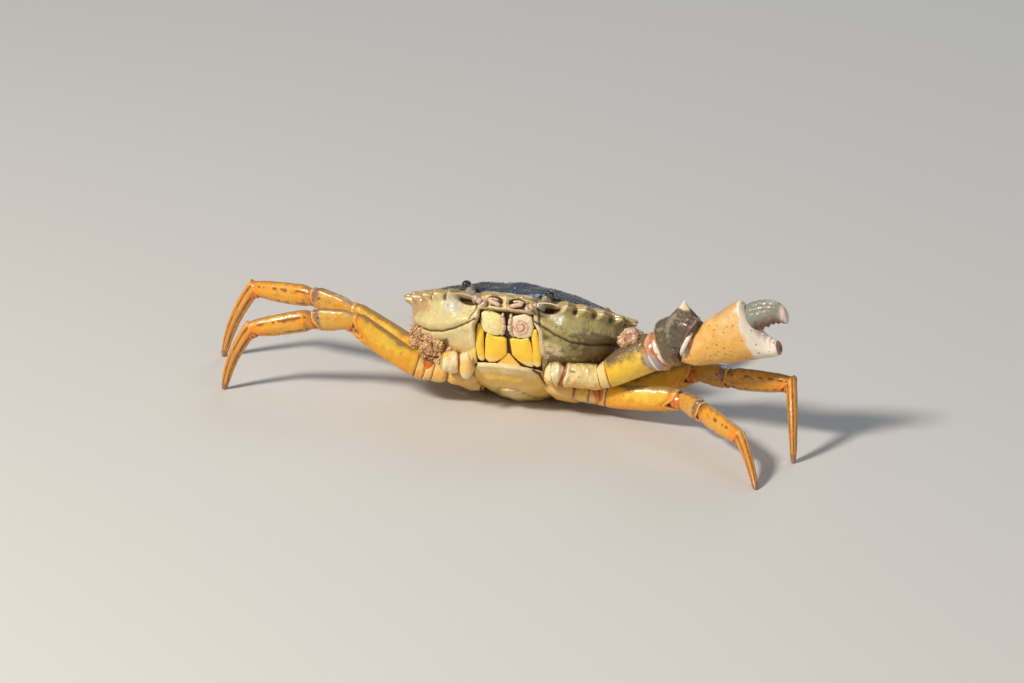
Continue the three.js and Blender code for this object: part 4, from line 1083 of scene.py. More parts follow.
def finger_relief(part, turn, place):
    under = ring_line(turn, math.pi, 1.15)
    edge = ring_line(turn, math.pi, 0.6)
    cusps = edge * (1.3 * hump(part, 0.17, 0.06) + 0.7 * hump(part, 0.36, 0.045) + 0.8 * hump(part, 0.5, 0.05)
                    + 0.5 * hump(part, 0.64, 0.04) + 0.5 * hump(part, 0.76, 0.035))
    troughs = ring_line(turn, 0.65, 0.14) + ring_line(turn, 1.15, 0.13) + ring_line(turn, -0.8, 0.16)
    ends = ease(0.05, 0.2, part) * ease(0.95, 0.75, part)
    grow = cusps - 0.17 * troughs * ends + 0.18 * rough(place, 2.0, 61) + 0.05 * noise(place, 0.6, 62)
    # Ribs and troughs are shaped in the surface; the ribs' paler colour is a painted highlight and the
    # troughs' darker colour a painted shade.
    return grow, {"seam_and_shade": 0.5 * troughs * ends, "ridge_and_highlight": 0.5 * (ring_line(turn, 0.35, 0.16)
                                                                + ring_line(turn, 0.9, 0.12)) * ends,
                  "stain_and_painted_light": under * ease(0.02, 0.1, part) * ease(0.98, 0.9, part) * 1.2,
                  "tip": ease(0.74, 0.94, part), "dorsal": ease(0.6, 0.2, part)}


def arm_spine(skin, elbow, wrist):
    """The sharp spine on the inner corner of the arm's last joint but one."""
    foot = blend(elbow, wrist, 0.5) + SPINE_FOOT
    way = unit(np.array([0.02, -0.2, 0.97]))
    sections = [[0, 1.3, 1.2, 1.4], [0.3, 1.2, 1.1, 1.3], [0.52, 0.86, 0.84, 1.02], [0.7, 0.5, 0.64],
                [0.86, 0.22, 0.28], [0.96, 0.08, 0.1], [1, 0.03]]

    def relief(part, turn, place):
        return 0.12 * rough(place, 1.2, 5) * (1 - part), {
            "tip": ease(0.74, 0.92, part), "dorsal": 1 - part, "granule": 0.7 * ease(0.85, 0.5, part),
            "ridge_and_highlight": 0.6 * ring_line(turn, 2.2, 0.3) + 0.3 * part}
    bar(skin, foot, foot + way * SPINE_LENGTH, sections, (3.6, 4.0), up=np.array([0, 1.0, 0]), rows=60,
        columns=48, relief=relief, dish=(0.5, 0))


def crescent(skin, centre, normal, up, radius, width, thick, spread):
    """A curved sliver of hard white plate set in a joint's skin."""
    angle = np.linspace(-spread, spread, 40)[:, None]
    turn = full_turn(16)
    normal = unit(normal)
    up = unit(up - normal * (up @ normal))
    across = np.cross(normal, up)
    taper = np.sqrt(np.clip(1 - (angle / spread / 1.03) ** 2, 0.02, 1))
    out = np.cos(angle)[..., None] * up + np.sin(angle)[..., None] * across
    points = centre + out * (radius + thick * np.cos(turn) * taper)[..., None] \
        + normal * (width * np.sin(turn) * taper)[..., None]
    flow = np.stack(np.broadcast_arrays(angle * radius, thick * np.cos(turn), width * np.sin(turn)), -1)
    wrapped(skin, points, flow, {"tip": 1.0, "ridge_and_highlight": 0.3})


def add_arm(finishes):
    """The claw arm. Gives the three pieces that carry beads."""
    joints, ways, wrist_normal = arm_frame()
    shoulder, knee, elbow, wrist = joints[:4]
    inner = unit(ways[0] + ways[1])

    base = bar(Skin(), shoulder - ways[0] * ARM_BASE_SHOWN, knee, ARM_BASE, end_normal=inner, rows=80,
               columns=64, relief=arm_base_relief, insets=(0, -0.1))
    add_piece("claw_left_base_plates", base, finishes["breast"], "claw_base", "claw_left_base")
    merus = bar(Skin(), knee, elbow, ARM_MERUS, start_normal=inner, end_normal=ways[1], rows=110, columns=88,
                relief=arm_merus_relief, notch=(2.4, 1.5, 0.8))
    merus_piece = add_piece("claw_left_merus_plate", merus, finishes["arm_merus"], "leg", "claw_left_merus")
    carpus = bar(Skin(), elbow, wrist, ARM_CARPUS, start_normal=ways[1], end_normal=wrist_normal, rows=96,
                 columns=96, relief=arm_carpus_relief, notch=(2.0, 1.9, 0.75))
    arm_spine(carpus, elbow, wrist)
    carpus_piece = add_piece("claw_left_carpus_plate", carpus, finishes["arm_carpus"], "claw_arm",
                             "claw_left_carpus")

    palm_axis = ways[3]
    palm_top = unit(UP - palm_axis * (palm_axis @ UP))
    palm = bar(Skin(), wrist, wrist + palm_axis * PALM_LENGTH, PALM, start_normal=wrist_normal, rows=190,
               columns=96, relief=palm_relief, dish=(1.4, 0.25))
    palm_piece = add_piece("claw_left_palm_shell", palm, finishes["palm"], "palm", "claw_left_palm")
    base_point = wrist + palm_axis * (FINGER_BASE[0] - 0.7) + palm_top * FINGER_BASE[1]
    tip_point = wrist + palm_axis * FINGER_TIP[0] + palm_top * FINGER_TIP[1]
    finger = bar(Skin(), base_point, tip_point, FINGER, rows=110, columns=72, relief=finger_relief,
                 dish=(0.8, 0), bow=0.2)
    add_piece("claw_left_finger", finger, finishes["finger"], "claw_finger", "claw_left_dactyl")
    add_arm_skins(finishes, elbow, wrist, ways, wrist_normal)
    return merus_piece, carpus_piece, palm_piece


def add_arm_skins(finishes, elbow, wrist, ways, wrist_normal):
    """The soft skins of the elbow and the wrist, and the hard slivers set in them."""
    sleeves = Skin()
    joint_ball(sleeves, elbow, ways[1], ways[2], ELBOW_SKIN, 3.5)
    joint_ball(sleeves, wrist, ways[2], ways[3], WRIST_SKIN, 3.2)
    add_piece("claw_left_joint_skins", sleeves, finishes["arm_skin"], "claw_arm")
    slivers = Skin()
    facing = np.array([0.1, -1, 0.1])
    crescent(slivers, elbow + ways[1] * 0.5, ways[1], facing, 5.0, 0.95, 0.55, 0.95)
    crescent(slivers, elbow - ways[1] * 1.9, ways[1], np.array([0, -1, -0.5]), 4.75, 0.7, 0.45, 0.7)
    crescent(slivers, wrist - wrist_normal * 0.3, wrist_normal, facing, 4.5, 0.6, 0.4, 0.9)
    add_piece("claw_left_joint_slivers", slivers, finishes["sliver"], "claw_arm")


def stump_relief(part, turn, place):
    slant = part - 0.05 * np.cos(turn + 0.6)
    lines = hump(slant, 0.46, 0.04)
    scar = ease(0.9, 0.99, part)
    lumps = 0.3 * rough(place, 1.7, 81) + 0.18 * scar * noise(place, 0.6, 82)
    return lumps - 0.3 * lines, {"rust": lines + 0.4 * hump(part, 0.2, 0.08), "stain_and_painted_light": scar, "tip": 1 - scar,
                                 "blush": ease(0.5, 0.9, part) * ring_line(turn, 0, 1),
                                 "ridge_and_highlight": 0.5 * hump(part, 0.72, 0.08)}


def add_stump(finishes):
    """The first joint of the claw that was shed, and the leaf-shaped plate in front of it."""
    out = direction(-1, 24, 6)
    end = root_point(0, -1) + out * STUMP_REACH
    skin = bar(Skin(), end - out * STUMP_LENGTH, end, STUMP, rows=90, columns=56, relief=stump_relief,
               dish=(1, 0.4))
    leaf_foot = root_point(0, -1) + LEAF_FOOT

    def leaf_relief(part, turn, place):
        return 0.05 * rough(place, 1, 9), {"tip": 1.0, "blush": hump(part, 0.5, 0.3), "seam_and_shade": 0 * part,
                                           "ridge_and_highlight": ring_line(turn, 0, 0.4) * 0.4}
    bar(skin, leaf_foot, leaf_foot + LEAF_REACH, LEAF, up=np.array([0, -1.0, 0]), rows=44, columns=32,
        relief=leaf_relief, dish=(0, 0))
    add_piece("claw_right_stump_scar", skin, finishes["breast"], "stump", "claw_right_stump")


# ---- Eyes, feelers and mouth plates ----


STALK = [[0, 1.5, 1.6], [0.3, 1.2, 1.3], [0.48, 1.0, 1.05], [0.66, 1.15, 1.2], [0.88, 1.3, 1.35],
         [1, 1.05, 1.1]]
LENS_BALL = [[0, 0.35, 0.4], [0.12, 0.85, 0.9], [0.38, 1.24, 1.3], [0.62, 1.28, 1.32],
             [0.85, 0.92, 0.95], [0.96, 0.48, 0.5], [1, 0.12]]


def stalk_relief(part, turn, place):
    ring = hump(part, 0.42, 0.04)
    return -0.14 * ring + 0.05 * rough(place, 0.8, 3), {
        "seam_and_shade": ring * 0.8, "ridge_and_highlight": 0.5 * hump(part, 0.86, 0.06), "stain_and_painted_light": ease(0.75, 1, part)}


def facets(part, turn, place):
    cells = np.sin(part * 90) * np.sin(turn * 26)
    return 0.006 * cells, {"tip": ring_line(turn, 2.2, 0.6) * hump(part, 0.4, 0.3)}


def add_eyes(finishes):
    for half, factor in HALVES:
        root, end = mirrored(EYE_ROOT, factor), mirrored(EYE_END, factor) + np.array([EYE_SWAY, 0, 0])
        way = unit(end - root)
        length = np.linalg.norm(end - root)
        skin = bar(Skin(), root, root + way * length * 0.72, STALK, rows=56, columns=40, relief=stalk_relief,
                   dish=(0.3, 0.3), insets=(0, 0)).pitched()
        add_piece(f"eyestalk_{half}", skin, finishes["stalk"], "eye", f"eye_{half}")
        cornea = bar(Skin(), root + way * length * 0.6, root + way * length * 1.02, LENS_BALL, rows=60,
                     columns=56, relief=facets, dish=(0.1, 0), insets=(0, 0)).pitched()
        add_piece(f"eye_lens_{half}", cornea, finishes["cornea"], "eye")


KNUCKLE = [[0, 0.55], [0.3, 1], [0.75, 1.05], [1, 0.5]]


def knuckled(skin, path, radii, seed, marks):
    """A chain of swollen joints along a path in the crab's own frame."""
    path = np.asarray(path, float)
    for i, (start, end, size) in enumerate(zip(path[:-1], path[1:], radii)):
        def relief(part, turn, place):
            seam_and_shade = ease(0.86, 1, part) + ease(0.1, 0, part)
            return 0.07 * rough(place, 0.9, seed + i), dict(marks, seam_and_shade=seam_and_shade)
        overlap = unit(end - start) * 0.12
        bar(skin, start - overlap, end + overlap, KNUCKLE, (size, size), rows=22, columns=24, relief=relief,
            dish=(0, 0), insets=(0, 0))


# Joints of the small feeler folded in its pit, and of the long feeler's foot, as paths in the crab's
# own frame with each joint's thickness.
SMALL_FEELER = [
    ([(1.25, 0.9, -2.75), (4.5, 1.0, -1.75)], [0.56]),
    ([(4.6, 0.9, -1.5), (3.3, 0.5, -1.3), (2.0, 0.8, -1.45)], [0.3, 0.24]),
]
LONG_FEELER_FOOT = ([(5.5, 2.1, -2.9), (6.3, 1.1, -2.4), (7.2, 0.75, -1.9), (8.1, 0.6, -1.6)],
                    [0.95, 0.8, 0.5])
WHIP = [(8.0, 0.6, -1.6), (9.6, 0.15, -1.2), (11.6, -0.2, -1.1), (13.2, -0.45, -1.4), (14.0, -0.6, -1.6)]


def add_feelers(finishes):
    whips = whip_tree()
    for half, factor in HALVES:
        small = Skin()
        for i, (path, radii) in enumerate(SMALL_FEELER):
            knuckled(small, mirrored(path, factor), radii, 11 + 6 * i, {"blush": 1.0 - i, "tip": i})
        stout = Skin()
        knuckled(stout, mirrored(LONG_FEELER_FOOT[0], factor), LONG_FEELER_FOOT[1], 23, {"ridge_and_highlight": 0.3})
        add_piece(f"small_feeler_{half}", small.pitched(), finishes["feeler"], "face", f"antennule_{half}")
        add_piece(f"long_feeler_{half}", stout.pitched(), finishes["feeler"], "face", f"antenna_{half}")
        whip = whip_object(whips, f"long_feeler_whip_{half}", mirrored(WHIP, factor), finishes["feeler"])
        keep(whip, "face")


# Mouth plates, drawn in their leaning plane: x outward from the midline, y up, for the left side.
UPPER_PLATE = [(1.3, 8.2), (1.0, 10.6), (1.5, 13.0), (2.9, 13.5), (4.7, 14.2), (6.6, 13.2), (7.0, 10.9),
               (6.2, 8.4), (4.6, 7.7), (2.6, 7.6)]
UPPER_BOSS = [(2.6, 10.6), (2.9, 11.6), (3.8, 12.0), (4.6, 11.4), (4.7, 10.4), (3.9, 9.6), (2.6, 10.6)]
LOWER_TOP = 7.5  # where the lower plates begin
LOWER_PLATE = [(0.38, 2.9), (0.35, 7.0), (1.2, 7.4), (3.4, 7.3), (5.4, 8.1), (5.9, 6.4), (6.1, 3.4),
               (6.2, 1.4), (5.2, 0.3), (3.6, 0.5), (1.7, 1.6)]
OUTER_BRANCH = [(6.2, 0.9), (6.35, 4.5), (6.2, 8.2), (6.9, 10.4), (7.7, 10.3), (8.3, 7.5), (8.4, 3.5),
                (7.9, 0.9), (6.9, 0.4)]
# The jointed palp beside the upper plate: outward, up and proud of the plane.
PALP = [(1.7, 7.9, -0.5), (0.9, 9.2, 0.25), (0.75, 10.9, 0.35), (1.1, 12.6, 0.1), (1.0, 13.6, -0.5)]


def mouth_axes():
    up = unit(MOUTH_TOP - MOUTH_FOOT)
    across = np.array([1.0, 0, 0])
    return across, up, np.cross(across, up)


def plate(skin, outline, factor, proud, thick, crown, seed, splay=0, groove=None, marks=None):
    """A domed plate with a rolled edge, in the mouth's leaning plane."""
    across, up, out = mouth_axes()
    line, step = even_steps(outline, PLATE_COLUMNS)
    edge = soften(line, PLATE_ROUNDING / step)
    centre = edge.mean(0)
    parts = np.concatenate([np.linspace(0.04, 0.8, 18), np.linspace(0.84, 1, 9)])[:, None]
    flat = centre + (edge[None] - centre) * parts[..., None]
    roll = np.sqrt(np.clip(1 - np.clip((parts - 0.86) / 0.14, 0, 1) ** 2, 0, 1))
    height = proud + crown * (1 - parts ** 2) + (roll - 1) * 0.35
    bumps = 0.07 * rough(as_points(flat), 1.3, seed)
    cut = hump(reach(flat, groove), 0, 0.16) if groove else np.zeros(flat.shape[:2])
    height = height + bumps - 0.22 * cut
    back = np.ones((3, PLATE_COLUMNS))
    back_flat = centre + (edge - centre) * np.array([1.0, 0.97, 0.3])[:, None, None]
    back_height = np.array([proud - thick * 0.6, proud - thick, proud - thick])[:, None]
    flat = np.concatenate([flat, back_flat])
    height = np.concatenate([height, back * back_height])
    u, v = flat[..., :1], flat[..., 1:]
    lean = MOUTH_LEAN * (MOUTH_TOP[2] - MOUTH_FOOT[2] - v * up[2]) + splay * np.maximum(LOWER_TOP - v, 0)
    places = MOUTH_FOOT + (u * factor + lean) * across + v * up + height[..., None] * out
    flow = np.stack([flat[..., 0] * factor, flat[..., 1], height], -1)
    edge_part = np.concatenate([np.broadcast_to(parts, (len(parts), PLATE_COLUMNS)), back])
    given = {"seam_and_shade": np.concatenate([cut, back]), "ridge_and_highlight": hump(edge_part, 0.93, 0.05) * 0.6}
    given.update(marks(flat) if marks else {})
    return wrapped(skin, to_floor_frame(places), flow, given)


def ring_scar(flat):
    """Two rings and a boss on the left upper plate, where something grew on it."""
    away = np.linalg.norm(flat - np.array([3.6, 10.6]), axis=-1)
    uneven = away + 0.25 * noise(as_points(flat), 1.1, 6)
    rings = 0.8 * hump(uneven, 1.0, 0.2) + 0.6 * hump(uneven, 1.9, 0.2)
    return {"seam_and_shade": rings, "stain_and_painted_light": ease(2.6, 1.4, away) * 0.9, "tip": 1 + 0 * away}


def gold_marks(flat):
    return {"blush": ease(2.2, 4.2, flat[..., 1]), "dorsal": ease(2.4, 1.0, flat[..., 1])}


def add_mouth(finishes):
    across, up, out = mouth_axes()
    for half, factor in HALVES:
        left = factor > 0
        gold, pale, palp = Skin(), Skin(), Skin()
        plate(pale, UPPER_PLATE, factor, 0.15, 1.6, 0.55, 3, groove=UPPER_BOSS if left else None,
              marks=ring_scar if left else None)
        plate(gold, LOWER_PLATE, factor, 0.0, 1.7, 0.55, 7, splay=0.14 if left else 0, marks=gold_marks)
        plate(gold, OUTER_BRANCH, factor, 0.05, 1.4, 0.45, 9, splay=0.06 if left else 0, marks=gold_marks)
        add_piece(f"mouth_lower_plates_{half}", gold, finishes["mouth_gold"], "mouth_plate",
                  f"maxilliped_{half}")
        add_piece(f"mouth_upper_plate_{half}", pale, finishes["mouth_pale"], "mouth_plate")
        chain = [MOUTH_FOOT + x * factor * across + y * up + z * out for x, y, z in PALP]
        chain = [point + across * MOUTH_LEAN * (MOUTH_TOP[2] - point[2]) for point in chain]
        knuckled(palp, chain, [0.55, 0.62, 0.52, 0.36], 31, {"ridge_and_highlight": 0.2})
        add_piece(f"mouth_palp_{half}", palp.pitched(), finishes["feeler"], "mouth_plate")


# ---- What has settled on the crab: crusty tufts at the right flank, a knob at the left ----

CRUST_LUMPS = [((-25.9, 19.2, -7.6), 2.0), ((-24.6, 18.2, -9.6), 2.2), ((-22.6, 17.2, -11.4), 2.4),
               ((-20.0, 16.2, -12.2), 2.2), ((-17.4, 16.4, -13.2), 2.2), ((-22.0, 19.0, -13.0), 2.3),
               ((-18.6, 18.4, -14.8), 2.0), ((-26.4, 21.4, -10.2), 2.0), ((-15.4, 13.6, -13.6), 1.7),
               ((-26.4, 18.4, -5.4), 1.3), ((-20.6, 12.4, -10.8), 1.6), ((-23.4, 14.6, -9.4), 1.7),
               ((-18.0, 11.8, -12.3), 1.5)]
KNOB_LUMPS = [((31.0, 10.3, -4.8), 2.2), ((29.3, 10.8, -6.2), 1.7), ((32.4, 11.4, -4.4), 1.6)]


LUMP = [[0, 0.12], [0.06, 0.48], [0.2, 0.82], [0.5, 1], [0.8, 0.82], [0.94, 0.48], [1, 0.12]]


def lumps_skin(lumps, seed):
    """Rounded, uneven lumps, given by their middles in the crab's own frame and their radii."""
    skin = Skin()
    for i, (middle, radius) in enumerate(lumps):
        def relief(part, turn, place):
            lump = place + i * 9.0
            coarse = 0.4 * rough(lump, radius * 0.8, seed)
            rise = radius * (coarse + 0.2 * noise(lump, radius * 0.3, seed + 3))
            return rise * np.sin(math.pi * part), {
                "granule": 1.0, "bristle": 0.5, "stain_and_painted_light": np.clip(0.5 + rough(lump, 1.3, seed + 5), 0, 1),
                # Random pale spots, which the crusty tuft's finish paints as highlights.
                "ridge_and_highlight": np.clip(noise(lump, 0.8, seed + 7), 0, 1)}
        middle = to_floor_frame(np.array(middle))
        bar(skin, middle - UP * radius, middle + UP * radius, LUMP, (radius, radius),
            up=np.array([0, -1.0, 0]), rows=30, columns=32, relief=relief, dish=(0, 0), insets=(0, 0))
    return skin


# ---- Geometry Nodes: beads, bristles and the ringed whips ----


def new_tree(kind, name, output, inputs):
    """An empty tree with one output (name, kind), and inputs as (name, kind) or (name, kind, value)."""
    tree = bpy.data.node_groups.new(name, kind)
    tree.interface.new_socket(output[0], in_out="OUTPUT", socket_type=f"NodeSocket{output[1]}")
    for label, sort, *value in inputs:
        socket = tree.interface.new_socket(label, in_out="INPUT", socket_type=f"NodeSocket{sort}")
        if value:
            socket.default_value = value[0]
    given = tree.nodes.new("NodeGroupInput").outputs
    return tree, given, tree.nodes.new("NodeGroupOutput").inputs[output[0]]


def add(tree, kind, inputs, **settings):
    """Adds a node and fills its inputs: with a node's first output, with a socket, or with a value."""
    node = tree.nodes.new(kind)
    for key, value in settings.items():
        setattr(node, key, value)
    for key, value in inputs.items():
        if isinstance(value, bpy.types.Node):
            value = value.outputs[0]
        if isinstance(value, bpy.types.NodeSocket):
            tree.links.new(value, node.inputs[key])
        else:
            node.inputs[key].default_value = value
    return node


def maths(tree, operation, *values):
    return add(tree, "ShaderNodeMath", dict(enumerate(values)), operation=operation)


def vector_maths(tree, operation, *values):
    return add(tree, "ShaderNodeVectorMath", dict(enumerate(values)), operation=operation)


def ramp(tree, value, low, high, first=0.0, last=1.0, shape="SMOOTHSTEP"):
    limits = {"From Min": low, "From Max": high, "To Min": first, "To Max": last}
    return add(tree, "ShaderNodeMapRange", {"Value": value, **limits}, interpolation_type=shape)


def named(tree, name, kind="FLOAT"):
    return add(tree, "GeometryNodeInputNamedAttribute", {"Name": name}, data_type=kind)


def stored(tree, mesh, name, value, kind, domain):
    return add(tree, "GeometryNodeStoreNamedAttribute", {"Geometry": mesh, "Name": name, "Value": value},
               data_type=kind, domain=domain)


def chance(tree, given, low, high):
    node = add(tree, "FunctionNodeRandomValue", {"Seed": given["Seed"], 2: low, 3: high}, data_type="FLOAT")
    return node.outputs[1]


DENSEST = 9e6  # points per square metre
BAKE_SCALE = (8, 8, 0)  # from metres along the straightened part to the bake layout
BAKE_MIDDLE = (0.5, 0.5, 0)
HAIR_PATCH = (0.003, 0.003, 0)  # the share of the layout that one hair takes


def scatter(tree, given, mark):
    """Points on the given surface, no nearer each other than Spacing, where the mark is high."""
    return add(tree, "GeometryNodeDistributePointsOnFaces", {
        "Mesh": given["Geometry"], "Distance Min": given["Spacing"], "Density Max": DENSEST,
        "Density Factor": named(tree, mark), "Seed": given["Seed"]}, distribute_method="POISSON")


def placed(tree, spots, shape, turn, size):
    """The shape at every point, as real faces."""
    copies = add(tree, "GeometryNodeInstanceOnPoints", {"Points": spots, "Instance": shape, "Rotation": turn,
                                                        "Scale": size})
    return add(tree, "GeometryNodeRealizeInstances", {"Geometry": copies})


def close_tree(tree, node, made):
    """The node's first output is what the tree gives."""
    tree.links.new(node.outputs[0], made)
    return tree


def dress_tree(tree, mesh, given, made):
    dressed = add(tree, "GeometryNodeSetMaterial", {"Geometry": mesh, "Material": given["Finish"]})
    return close_tree(tree, dressed, made)


def bake(name, host, tree, inputs):
    """Runs a geometry tree on a copy of the host and keeps the result as a plain mesh."""
    carrier = host.copy()
    carrier.parent = None
    bpy.context.scene.collection.objects.link(carrier)
    for key in list(carrier.keys()):
        del carrier[key]
    modifier = carrier.modifiers.new(tree.name, "NODES")
    modifier.node_group = tree
    names = {item.name: item.identifier for item in tree.interface.items_tree if item.in_out == "INPUT"}
    for label, value in inputs.items():
        modifier[names[label]] = value
    graph = bpy.context.evaluated_depsgraph_get()
    mesh = bpy.data.meshes.new_from_object(carrier.evaluated_get(graph), depsgraph=graph)
    bpy.data.objects.remove(carrier)
    while len(mesh.materials) > 1:
        mesh.materials.pop(index=0)  # the repeated shape's own slot, which is empty
    mesh.name = name
    mesh.shade_smooth()
    return new_object(name, mesh)


def bead_tree():
    """Small flattened beads scattered where the surface's granule mark is high."""
    tree, given, made = new_tree("GeometryNodeTree", "beads", ("Geometry", "Geometry"), [
        ("Geometry", "Geometry"), ("Spacing", "Float"), ("Size", "Float"), ("Seed", "Int"),
        ("Finish", "Material")])
    spots = scatter(tree, given, "granule")
    ball = add(tree, "GeometryNodeMeshUVSphere", {"Segments": 8, "Rings": 5, "Radius": 1.0})
    bead = add(tree, "GeometryNodeTransform", {"Geometry": ball, "Scale": (1, 1, 0.62)})
    size = maths(tree, "MULTIPLY", chance(tree, given, 0.45, 1.15), given["Size"])
    real = placed(tree, spots, bead, spots.outputs["Rotation"], size)
    return dress_tree(tree, stored(tree, real, "ridge_and_highlight", 0.55, "FLOAT", "POINT"), given, made)


def bristle_tree():
    """Fine tapered hairs where the surface's bristle mark is high, each leaning its own way."""
    tree, given, made = new_tree("GeometryNodeTree", "bristles", ("Geometry", "Geometry"), [
        ("Geometry", "Geometry"), ("Spacing", "Float"), ("Length", "Float"), ("Thickness", "Float"),
        ("Lean", "Float"), ("Seed", "Int"), ("Finish", "Material")])
    spots = scatter(tree, given, "bristle")
    cone = add(tree, "GeometryNodeMeshCone", {"Vertices": 4, "Side Segments": 4, "Radius Top": 0.12,
                                              "Radius Bottom": 1.0, "Depth": 1.0}, fill_type="NGON")
    marked = stored(tree, cone, "hair_uv", cone.outputs["UV Map"], "FLOAT2", "CORNER")
    place = add(tree, "GeometryNodeInputPosition", {})
    height = add(tree, "ShaderNodeSeparateXYZ", {"Vector": place}).outputs["Z"]
    size = add(tree, "ShaderNodeCombineXYZ", {"X": given["Thickness"], "Y": given["Thickness"],
                                              "Z": given["Length"]})
    bend = maths(tree, "MULTIPLY", maths(tree, "MULTIPLY", height, height), given["Lean"])
    bent = vector_maths(tree, "MULTIPLY_ADD", place, size, add(tree, "ShaderNodeCombineXYZ", {"X": bend}))
    hair = add(tree, "GeometryNodeSetPosition", {"Geometry": marked, "Position": bent})
    tilt = add(tree, "FunctionNodeRandomValue", {"Seed": given["Seed"], 0: (-0.5, -0.5, -3.1),
                                                 1: (0.5, 0.5, 3.1)}, data_type="FLOAT_VECTOR")
    turn = add(tree, "FunctionNodeRotateEuler", {"Rotation": spots.outputs["Rotation"], "Rotate By": tilt},
               space="LOCAL")
    real = placed(tree, spots, hair, turn, chance(tree, given, 0.5, 1.1))
    root = add(tree, "ShaderNodeSeparateXYZ", {"Vector": named(tree, "flow", "FLOAT_VECTOR")})
    depth = maths(tree, "ADD", root.outputs["Y"], root.outputs["Z"])
    flat = add(tree, "ShaderNodeCombineXYZ", {"X": root.outputs["X"], "Y": depth})
    corner = vector_maths(tree, "MULTIPLY_ADD", flat, BAKE_SCALE, BAKE_MIDDLE)
    hair_uv = named(tree, "hair_uv", "FLOAT_VECTOR")
    patch = vector_maths(tree, "MULTIPLY_ADD", hair_uv, HAIR_PATCH, corner)
    return dress_tree(tree, stored(tree, real, "OFBake", patch, "FLOAT2", "CORNER"), given, made)


def add_bristles(tree, host, slot, finish, spacing, length, thickness, lean, seed):
    piece = bake(f"{host.name}_bristles", host, tree, {
        "Spacing": spacing * MM, "Length": length * MM, "Thickness": thickness * MM, "Lean": lean * MM,
        "Seed": seed, "Finish": finish})
    return keep(piece, slot)


def add_beads(tree, host, slot, spacing, size, seed):
    piece = bake(f"{host.name}_beads", host, tree, {
        "Spacing": spacing * MM, "Size": size * MM, "Seed": seed, "Finish": host.data.materials[0]})
    return keep(piece, slot)


def whip_tree():
    """A ringed feeler along a line: every third ring of the tube swells."""
    tree, given, made = new_tree("GeometryNodeTree", "ringed_whip", ("Geometry", "Geometry"), [
        ("Geometry", "Geometry"), ("Thickness", "Float"), ("Rings", "Int"), ("Finish", "Material")])
    line = add(tree, "GeometryNodeMeshToCurve", {"Mesh": given["Geometry"]})
    smooth = add(tree, "GeometryNodeCurveSplineType", {"Curve": line}, spline_type="CATMULL_ROM")
    fine = add(tree, "GeometryNodeResampleCurve", {"Curve": smooth, "Count": given["Rings"]})
    along = add(tree, "GeometryNodeSplineParameter", {})
    thin = ramp(tree, along, 0.0, 1.0, 1.0, 0.5, "LINEAR")
    every = maths(tree, "MODULO", along.outputs["Index"], 3.0)
    swell = ramp(tree, every, 0.0, 2.0, 0.78, 1.12, "LINEAR")
    radius = maths(tree, "MULTIPLY", maths(tree, "MULTIPLY", thin, swell), given["Thickness"])
    ring = add(tree, "GeometryNodeCurvePrimitiveCircle", {"Resolution": 12, "Radius": 1.0})
    tube = add(tree, "GeometryNodeCurveToMesh", {"Curve": fine, "Profile Curve": ring, "Scale": radius,
                                                 "Fill Caps": True})
    real = add(tree, "GeometryNodeRealizeInstances", {"Geometry": tube})
    return dress_tree(tree, real, given, made)


def whip_object(tree, name, path, finish):
    places = to_floor_frame(path) * MM
    mesh = bpy.data.meshes.new(name)
    mesh.from_pydata(places.tolist(), [(i, i + 1) for i in range(len(places) - 1)], [])
    line = bpy.data.objects.new(name + "_line", mesh)
    piece = bake(name, line, tree, {"Thickness": WHIP_THICKNESS * MM, "Rings": WHIP_RINGS, "Finish": finish})
    bpy.data.objects.remove(line)
    return piece


# ---- Finishes ----


def effect(name, output, *inputs):
    return new_tree("ShaderNodeTree", name, (output, "Float"), [("Vector", "Vector"), *inputs])


def blotch_group():
    """Soft uneven patches: 1 inside them. Cover is the share of the surface, about."""
    tree, given, made = effect("blotches", "Mask", ("Scale", "Float", 200), ("Cover", "Float", 0.5),
                               ("Softness", "Float", 0.12))
    coarse = add(tree, "ShaderNodeTexNoise", {"Vector": given["Vector"], "Scale": given["Scale"],
                                              "Detail": 5.0, "Roughness": 0.6})
    level = ramp(tree, maths(tree, "SUBTRACT", 1.0, given["Cover"]), 0.0, 1.0, 0.3, 0.7, "LINEAR")
    low = maths(tree, "SUBTRACT", level, given["Softness"])
    high = maths(tree, "ADD", level, given["Softness"])
    return close_tree(tree, ramp(tree, coarse, low, high), made)


def speckle_group():
    """Small round dots of uneven size, here and there."""
    tree, given, made = effect("speckles", "Mask", ("Scale", "Float", 700), ("Size", "Float", 0.25),
                               ("Cover", "Float", 0.4))
    cells = add(tree, "ShaderNodeTexVoronoi", {"Vector": given["Vector"], "Scale": given["Scale"]})
    pick = add(tree, "ShaderNodeSeparateColor", {"Color": cells.outputs["Color"]})
    shown = maths(tree, "LESS_THAN", pick, given["Cover"])
    dot = ramp(tree, cells, given["Size"], maths(tree, "MULTIPLY", given["Size"], 0.55))
    return close_tree(tree, maths(tree, "MULTIPLY", dot, shown), made)


def ragged_group():
    """A mark of the mesh with an uneven, broken edge."""
    tree, given, made = effect("ragged_mark", "Mask", ("Mark", "Float", 0), ("Scale", "Float", 500),
                               ("Raggedness", "Float", 0.6))
    grain = add(tree, "ShaderNodeTexNoise", {"Vector": given["Vector"], "Scale": given["Scale"],
                                             "Detail": 4.0, "Roughness": 0.65})
    shake = maths(tree, "MULTIPLY", maths(tree, "SUBTRACT", grain, 0.5), given["Raggedness"])
    shaken = maths(tree, "MULTIPLY_ADD", shake, 2.2, given["Mark"])
    gate = ramp(tree, given["Mark"], 0.0, 0.15, shape="LINEAR")
    return close_tree(tree, maths(tree, "MULTIPLY", ramp(tree, shaken, 0.18, 0.78), gate), made)


